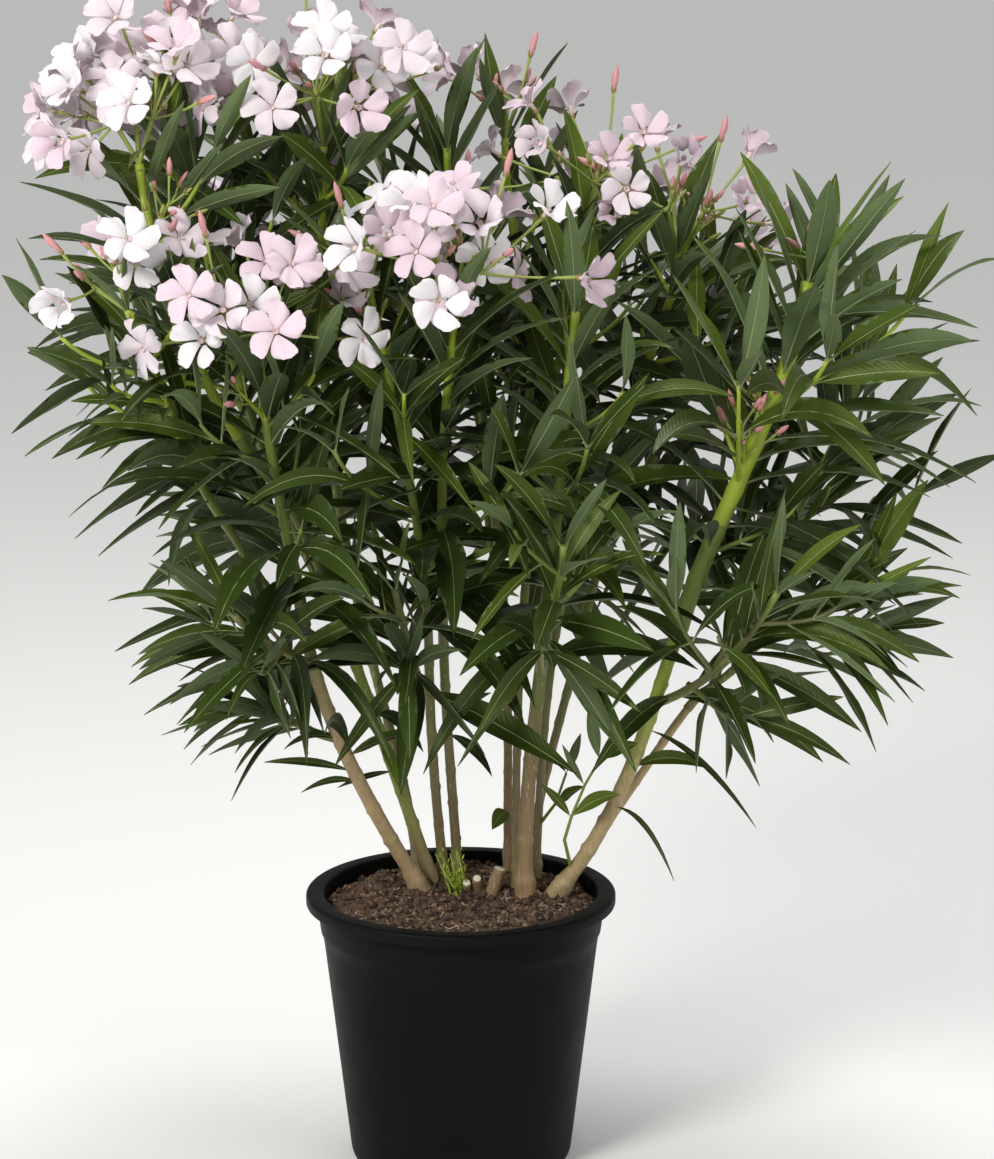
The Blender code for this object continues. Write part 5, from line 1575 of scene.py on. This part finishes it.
def finer_growth(mass, shoot, space, rng):
    """Leaves beyond the solids' own: whorls between the main ones, and short side twigs."""
    step = (LAST_WHORL - FIRST_WHORL) / (mass.whorls - 1)
    leaves = []
    for k in range(mass.whorls - 1):
        leaves += whorls(shoot.curve, (FIRST_WHORL + step * (k + 0.5),), mass.leaf, rng,
                         0.5 * AXIS_TIP_RADIUS, (WIDE_PITCH, STEEP_PITCH))
    length = (shoot.curve(1.0) - shoot.curve(0.0)).length
    for k in range(FINE_TWIGS):
        share = FINE_FIRST + FINE_STEP * k + rng.uniform(-0.04, 0.04)
        turn = mass.turn + FINE_TURN + k * GOLDEN_TURN
        point, leaving = side_start(shoot.curve, share, turn, FINE_ONWARD, FINE_OUTWARD)
        reach = length * FINE_LENGTH * rng.uniform(0.8, 1.2)
        end = point + leaving * reach + Vector((0.0, 0.0, FINE_RISE * reach))
        twig = arc(point, leaving, end, leaving + Vector((0.0, 0.0, 0.9)))
        if not space.take(mass.name, *tube(twig_limb(twig, (0.35, 0.7), 0.0020, 0.0014))):
            continue
        add_stem(twig, stem_radii(SIDE_STEM, SIDE_STEM_TIP, 10, rng),
                 STEM_SHIFT.get(mass.name, 0.0), 7)
        for at in FINE_WHORLS:
            leaves += whorls(twig, (at,), mass.leaf * FINE_LEAF, rng, 0.0006, SIDE_PITCHES)
    return leaves


def open_stem(limbs, grown):
    """Points up the bright cane on the plant's right, which no fine leaf hides from the front."""
    stem = limbs["cane_right"][0]
    points = [stem(OPEN_SHARE + (1.0 - OPEN_SHARE) * k / 24) for k in range(25)]
    return points + [grown["mass_right"].curve(0.5 * k / 16) for k in range(17)]


def hides(leaf, stem):
    """Whether a leaf crosses the stem on its front side."""
    for share in (0.15, 0.3, 0.45, 0.6, 0.75, 0.9):
        point = leaf_middle(leaf, share)
        for spot in stem:
            if (abs(point.z - spot.z - LOOK_DOWN * (spot.y - point.y)) < OPEN_HALF_WIDTH
                    and abs(point.x - spot.x) < OPEN_HALF_WIDTH and point.y < spot.y - OPEN_DEPTH):
                return True
    return False


def flower_face(flower):
    """Where a flower's open face has its middle."""
    return flower.base + flower.facing * FLOWER_DEPTH


def more_flowers(name, first, faces, space, rng):
    """Flowers that fill a head, each between two of its first ones."""
    added = []
    share = HEADS.get(name, USUAL_HEAD)[0]
    wanted = round(share * len(first)) if len(first) > 1 else 0
    for _ in range(FLOWER_TRIES * wanted):
        if len(added) == wanted:
            break
        one, other = rng.sample(first, 2)
        spread = anywhere(rng, 1.0) * 0.011
        base = one.base.lerp(other.base, rng.uniform(0.25, 0.60)) + spread
        outward = (base - one.root).normalized()
        reach = (base - one.root).length * 1.08
        base = one.root + outward * min(LONGEST_STALK, max(SHORTEST_STALK, reach))
        facing = (one.facing * 0.7 + other.facing * 0.5 + outward * 0.6
                  + anywhere(rng, 0.35) + TO_LIGHT).normalized()
        flower = Flower(one.root, base, facing, rng.uniform(0.0, 1.2))
        middle = flower_face(flower)
        if min((middle - face).length for face in faces) < FLOWERS_APART:
            continue
        if not space.free(*bud_solid(Bud(one.root, base), 0.0, 0.45), name):
            continue
        faces.append(middle)
        added.append(flower)
    return added


def add_stalk(root, base, thin, thick, rng):
    """A flower's own stalk, bowed a little, thicker where it meets the flower."""
    bow = Vector((rng.uniform(-1.0, 1.0), rng.uniform(-1.0, 1.0), -0.8))
    middle = root.lerp(base, 0.5) + bow * (base - root).length * 0.06
    path = [root.lerp(middle, t).lerp(middle.lerp(base, t), t)
            for t in (0.0, 0.25, 0.5, 0.75, 0.93, 1.0)]
    add_tube(heap_of("flower_stalks"), path,
             [thin * 1.2, thin, thin, thin * 1.05, thick, thick * 0.9], 7, True)


def add_head(mass, shoot, faces, space, rng):
    """A shoot's flower head: its branches, flowers, long buds and a few small ones."""
    top = shoot.curve(1.0)
    for twig in shoot.twigs:
        if (twig.path[0] - top).length < 0.02:
            path = [twig.path[0].lerp(twig.path[-1], t) for t in (0.0, 0.3, 0.6, 0.85, 1.0)]
            add_tube(heap_of("flower_stalks"), path, [0.0019, 0.0018, 0.0017, 0.0019, 0.0015], 8,
                     True)
    flowers = shoot.flowers + more_flowers(mass.name, shoot.flowers, faces, space, rng)
    # The head's second value tips its petals pinker: real pink on some heads, and a painted shade towards
    # pink and lilac on the heads at the back and top
    _, pink_and_shade, closed = HEADS.get(mass.name, USUAL_HEAD)
    for flower in flowers:
        tone = int(2.4 * rng.random() ** 1.6 + pink_and_shade + 0.3)
        tone = min(len(PETAL_TONES) - 1, max(0, tone))
        add_flower(flower, heap_of("petals_" + PETAL_TONES[tone]), closed, rng)
        add_stalk(flower.root, flower.base, 0.0010, 0.0015, rng)
    for bud in shoot.buds:
        add_bud(heap_of("buds_pink"), bud.base, (bud.base - bud.root).normalized(), 0.0215, 0.0025,
                rng)
        add_stalk(bud.root, bud.base, 0.0009, 0.0013, rng)
    onward = heading_at(shoot.curve, 1.0)
    for fork in sorted({tuple(piece.root) for piece in shoot.flowers + shoot.buds}):
        for _ in range(SMALL_BUDS):
            aside = Vector((rng.uniform(-1, 1), rng.uniform(-1, 1), rng.uniform(-0.2, 0.7)))
            out = (onward * rng.uniform(0.5, 1.2) + aside).normalized()
            base = Vector(fork) + out * rng.uniform(0.010, 0.020)
            size = rng.uniform(0.006, 0.013)
            if space.free(*bud_solid(Bud(Vector(fork), base), 0.0, 0.35), mass.name):
                kind = "buds_pink" if size > 0.010 else "buds_green"
                add_bud(heap_of(kind), base, out, size, size * 0.16, rng)
                add_stalk(Vector(fork), base, 0.0006, 0.0009, rng)


def dress_masses(space, limbs, on_tip, grown):
    """Fine stems, leaves and flowers over every mass."""
    leaves, stem = [], open_stem(limbs, grown)
    for mass in MASSES:
        shoot, rng = grown[mass.name], random.Random(mass.name + " fine")
        add_axis(mass, shoot, mass.share >= 1.0 and on_tip[mass.parent] == 1, rng)
        finer = finer_growth(mass, shoot, space, rng)
        for leaf, sure in [(leaf, True) for leaf in shoot.leaves] + [(leaf, False) for leaf in finer]:
            width = leaf.length * FINE_LEAF_WIDTH * rng.uniform(0.80, 1.22)
            width *= BROAD.get(mass.name, 1.0)
            leaves.append((mass, leaf._replace(width=width), sure))
    for mass, leaf, sure in leaves:
        rng = random.Random(f"{mass.name} {leaf.root.x:.5f} {leaf.heading.z:.5f}")
        if not sure:
            leaf = place(leaf, leaf_solid, mass.name, space, rng, FINE_TRIES, FINE_CLEARANCE, stem)
        if leaf:
            low, high = grown[mass.name].curve(0.0).z, grown[mass.name].curve(1.0).z
            height_share = min(1.0, max(0.0, (leaf.root.z - low) / max(0.05, high - low)))
            add_leaf(leaf, tone_of(height_share, mass.name, leaf.root, rng), rng)
    faces = [flower_face(flower) for mass in MASSES for flower in grown[mass.name].flowers]
    for mass in MASSES:
        add_head(mass, grown[mass.name], faces, space, random.Random(mass.name + " bloom"))


def add_bud_sprays(grown):
    """Open sprays of stalks with small green and pink buds, on their own bright stems."""
    for name, share, way, length, count in BUD_SPRAYS:
        rng = random.Random(f"{name} {share} spray")
        root, direction = grown[name].curve(share), Vector(way).normalized()
        side, other = square_pair(direction, Vector((1.0, 0.0, 0.0)))
        bow = (side * rng.uniform(-0.12, 0.12) + other * rng.uniform(-0.12, 0.12)) * length
        stem = [root + direction * (length * 0.7 * t) + bow * t * t
                for t in (0.0, 0.25, 0.5, 0.75, 1.0)]
        add_tube(heap_of("stems_lime"), stem, [0.0021, 0.0017, 0.0015, 0.0012, 0.0009], 8, True)
        for k in range(count):
            t = 0.30 + 0.70 * k / (count - 1)
            point = root + direction * (length * 0.7 * t) + bow * t * t
            turn = k * GOLDEN_TURN + rng.uniform(-0.3, 0.3)
            radial = turned(side, other, turn)
            out = (direction * rng.uniform(0.7, 1.1) + radial * (1.0 - 0.5 * t)).normalized()
            base = point + out * length * (0.56 - 0.26 * t) * rng.uniform(0.8, 1.15)
            size = rng.uniform(0.007, 0.016)
            kind = "buds_pink" if size > 0.011 else "buds_green"
            add_bud(heap_of(kind), base, out, size, size * 0.15, rng)
            add_stalk(point, base, 0.0008, 0.0011, rng)


def add_low_growth(limbs):
    """A few thin twigs and single leaves that spring from the canes low down."""
    rng = random.Random("low growth")
    single = [(cane, share, (), ((0, *leaf),)) for cane, share, *leaf in LOW_LEAVES]
    for cane, share, rest, leaves in [*LOW_TWIGS, *single]:
        path = [limbs[cane][0](share)] + [Vector(point) for point in rest]
        if rest:
            add_tube(heap_of("stems_green"), path, tapered(0.0015, 0.0010, len(rest)), 7, True)
        for knot, tip, width, droop, tone in leaves:
            root, tip = path[knot], Vector(tip)
            length = (tip - root).length
            heading = (tip - root) / length + Vector((0.0, 0.0, 0.5 * droop))
            across = heading.cross(Vector((0.0, -0.8, 0.6))).normalized()
            add_leaf(Leaf(root, heading, across, length, width, droop), tone, rng)


def plain_looks():
    """The material of each kind of fine piece, by the kind's name."""
    looks = {}
    for kind, colour in LEAF_COLOURS.items():
        looks["leaves_" + kind] = leaf_look("leaf_" + kind, colour, 0.42)
    for kind, colour in UNDER_COLOURS.items():
        looks["undersides_" + kind] = leaf_look("underside_" + kind, colour, 0.60)
    for kind, colour in PETAL_COLOURS.items():
        looks["petals_" + kind] = petal_look("petal_" + kind, colour)
    looks["petals_back"] = petal_look("petal_back", BACK_COLOUR)
    for kind, (colour, roughness, scale) in GRAINED.items():
        looks[kind] = grain_look(kind, colour, roughness, scale, 0.3, 0.0004)
    return looks


def finish_foliage():
    """Turns every heap of fine pieces into one object that stands for the masses."""
    looks, masses = plain_looks(), [mass.name for mass in MASSES]
    for kind in sorted(HEAPS):
        piece = HEAPS[kind].object(kind, looks[kind], "foliage", kind not in FACETED)
        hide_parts(*masses)


def cut_look():
    """Pale bare wood with fine rings."""
    look = Look("cut_wood", (0.72, 0.66, 0.52), 0.7)
    look.feed(look.shader, {"Base Color": look.ramp(
        look.noise(700.0, 4.0, 0.6, look.place), (0.3, (0.60, 0.52, 0.36)),
        (0.6, (0.80, 0.76, 0.64)))})
    return look.made


def finish_wood(limbs):
    """Barked canes and boughs, and the pale cut faces of the stubs."""
    barks = {}
    for name, (low, tan, young) in BARKS.items():
        stops = [(0.205, [0.80 * c for c in tan]), (0.245, tan), (low, [0.92 * c for c in tan]),
                 (low + 0.04, [0.5 * (a + b) for a, b in zip(tan, young)]), (low + 0.09, young)]
        barks[name] = wood_look("bark_" + name, stops, 0.60, 0.55)
    cuts = Heap()
    for cane in CANES:
        heap, stub = Heap(), cane.name.startswith("stub")
        bark_limb(heap, limbs[cane.name][0], BARK_SHARE * cane.radius, cane.tip_radius,
                  random.Random(cane.name + " bark"), cane.flare * (1.0 if stub else 1.4),
                  nodes_every=0.5 if stub else 0.030,
                  swelling=0.020 if cane.name == "cane_centre" else 0.011,
                  knob=0.0 if stub else FOOT_KNOB)
        piece = heap.object(cane.name + "_bark", barks[BARK_OF.get(cane.name, "olive")], "bark")
        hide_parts(cane.name)
        if stub:
            add_cut(cuts, limbs[cane.name][0], cane.tip_radius)
    for bough in BOUGHS:
        heap = Heap()
        bark_limb(heap, limbs[bough.name][0], bough.radius, bough.tip_radius,
                  random.Random(bough.name + " bark"), 0.12, sides=14, scaly=0.6)
        piece = heap.object(bough.name + "_bark", barks["olive"], "green_wood")
        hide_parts(bough.name)
    cuts.object("stub_cuts", cut_look(), "bark")


def add_cut(heap, curve, radius):
    """The pale face of a pruned stub, a little domed inside its bark."""
    tip, direction = curve(1.0), heading_at(curve, 1.0)
    around = spokes(*square_pair(direction, Vector((1.0, 0.0, 0.0))), 16)
    heap.grid([[tip + direction * rise + out * radius * share for out in around]
               for share, rise in ((0.93, 0.0001), (0.86, 0.0006), (0.45, 0.0008),
                                   (0.16, 0.0006), (0.02, 0.0003))], closed=True)


def add_sprout():
    """A tuft of bright young shoots among the canes' feet, with narrow leaves up them."""
    rng = random.Random("sprout")
    foot = Vector((-0.0030, 0.0060, SOIL_LEVEL))
    for k in range(SPROUT_SHOOTS):
        lean = Vector((rng.uniform(-0.45, 0.30), rng.uniform(-0.20, 0.20), 1.0)).normalized()
        length = rng.uniform(0.016, 0.042) * (1.0 if lean.x < 0.1 else 0.6)
        start = foot + Vector((rng.uniform(-0.007, 0.007), rng.uniform(-0.004, 0.005), 0.0))
        path = [start + lean * (length * t) + Vector((-0.003 * t * t, 0.0, 0.0))
                for t in (0.0, 0.3, 0.6, 1.0)]
        add_tube(heap_of("sprout_stems"), path, [0.0009, 0.0008, 0.0007, 0.0004], 6)
        for j in range(SPROUT_LEAVES):
            t = 0.12 + 0.86 * j / (SPROUT_LEAVES - 1)
            point = start + lean * (length * t)
            turn = j * 2.4 + k
            out = Vector((math.cos(turn), math.sin(turn), rng.uniform(0.7, 1.3))).normalized()
            side = square_to(out, Vector((0.0, 0.0, 1.0)).cross(out))
            size = rng.uniform(0.005, 0.0095) * (1.1 - 0.5 * t)
            half = size * 0.13
            up = side.cross(out).normalized() * 0.0003
            corners = [point, point + out * size * 0.45 + side * half,
                       point + out * size, point + out * size * 0.45 - side * half]
            heap_of("sprout_leaves").add([c + up for c in corners] + corners,
                                         [(0, 1, 2, 3), (7, 6, 5, 4)])


# --- Studio ---
CAMERA_PLACE = Vector((0.028, -2.869, 1.089))
CAMERA_PITCH = math.radians(12.4)
LENS = 119.74
SENSOR = 36.0
LAMPS_AIM = Vector((0.0, 0.0, 0.52))


def add_light(name, place, size, power, colour):
    """A soft round lamp, aimed at the middle of the crown."""
    data = bpy.data.lights.new(name, "AREA")
    data.shape, data.size, data.energy, data.color = "DISK", size, power, colour
    lamp = show(name, data)
    lamp.location = place
    lamp.rotation_euler = (LAMPS_AIM - Vector(place)).to_track_quat("-Z", "Y").to_euler()


def add_studio():
    """A pale floor, soft lights and the camera."""
    heap = Heap()
    heap.grid([[(x, y, 0.0) for x, y in circle(r, 64)] for r in (0.01, 1.0, 6.0, 60.0)],
              closed=True)
    mesh = bpy.data.meshes.new("floor")
    mesh.from_pydata(heap.verts, [], heap.faces)
    mesh.materials.append(Look("floor_paint", (0.90, 0.90, 0.89), 0.85).made)
    floor = show("floor", mesh)
    scene = bpy.context.scene
    scene.view_settings.view_transform = "Standard"
    scene.world = bpy.data.worlds.new("studio")
    scene.world.use_nodes = True
    sky = scene.world.node_tree.nodes["Background"].inputs
    sky["Color"].default_value, sky["Strength"].default_value = (0.96, 0.96, 0.95, 1.0), 0.56
    add_light("key", (-1.5, -2.0, 2.1), 1.0, 60.0, (1.0, 0.99, 0.965))
    add_light("fill", (2.0, -1.7, 1.3), 1.4, 13.0, (1.0, 0.99, 0.98))
    add_light("top", (0.2, 0.9, 2.4), 1.0, 20.0, (1.0, 1.0, 1.0))
    lens = bpy.data.cameras.new("camera")
    lens.sensor_fit, lens.sensor_height, lens.lens = "VERTICAL", SENSOR, LENS
    lens.clip_start, lens.clip_end = 0.1, 200.0
    camera = show("camera", lens)
    camera.location = CAMERA_PLACE
    camera.rotation_euler = (0.5 * math.pi - CAMERA_PITCH, 0.0, 0.0)
    scene.camera = camera


space, limbs, on_tip, grown = main_growth()
dress_masses(space, limbs, on_tip, grown)
add_bud_sprays(grown)
add_low_growth(limbs)
add_sprout()
finish_foliage()
finish_wood(limbs)
add_pot()
add_soil()
add_studio()
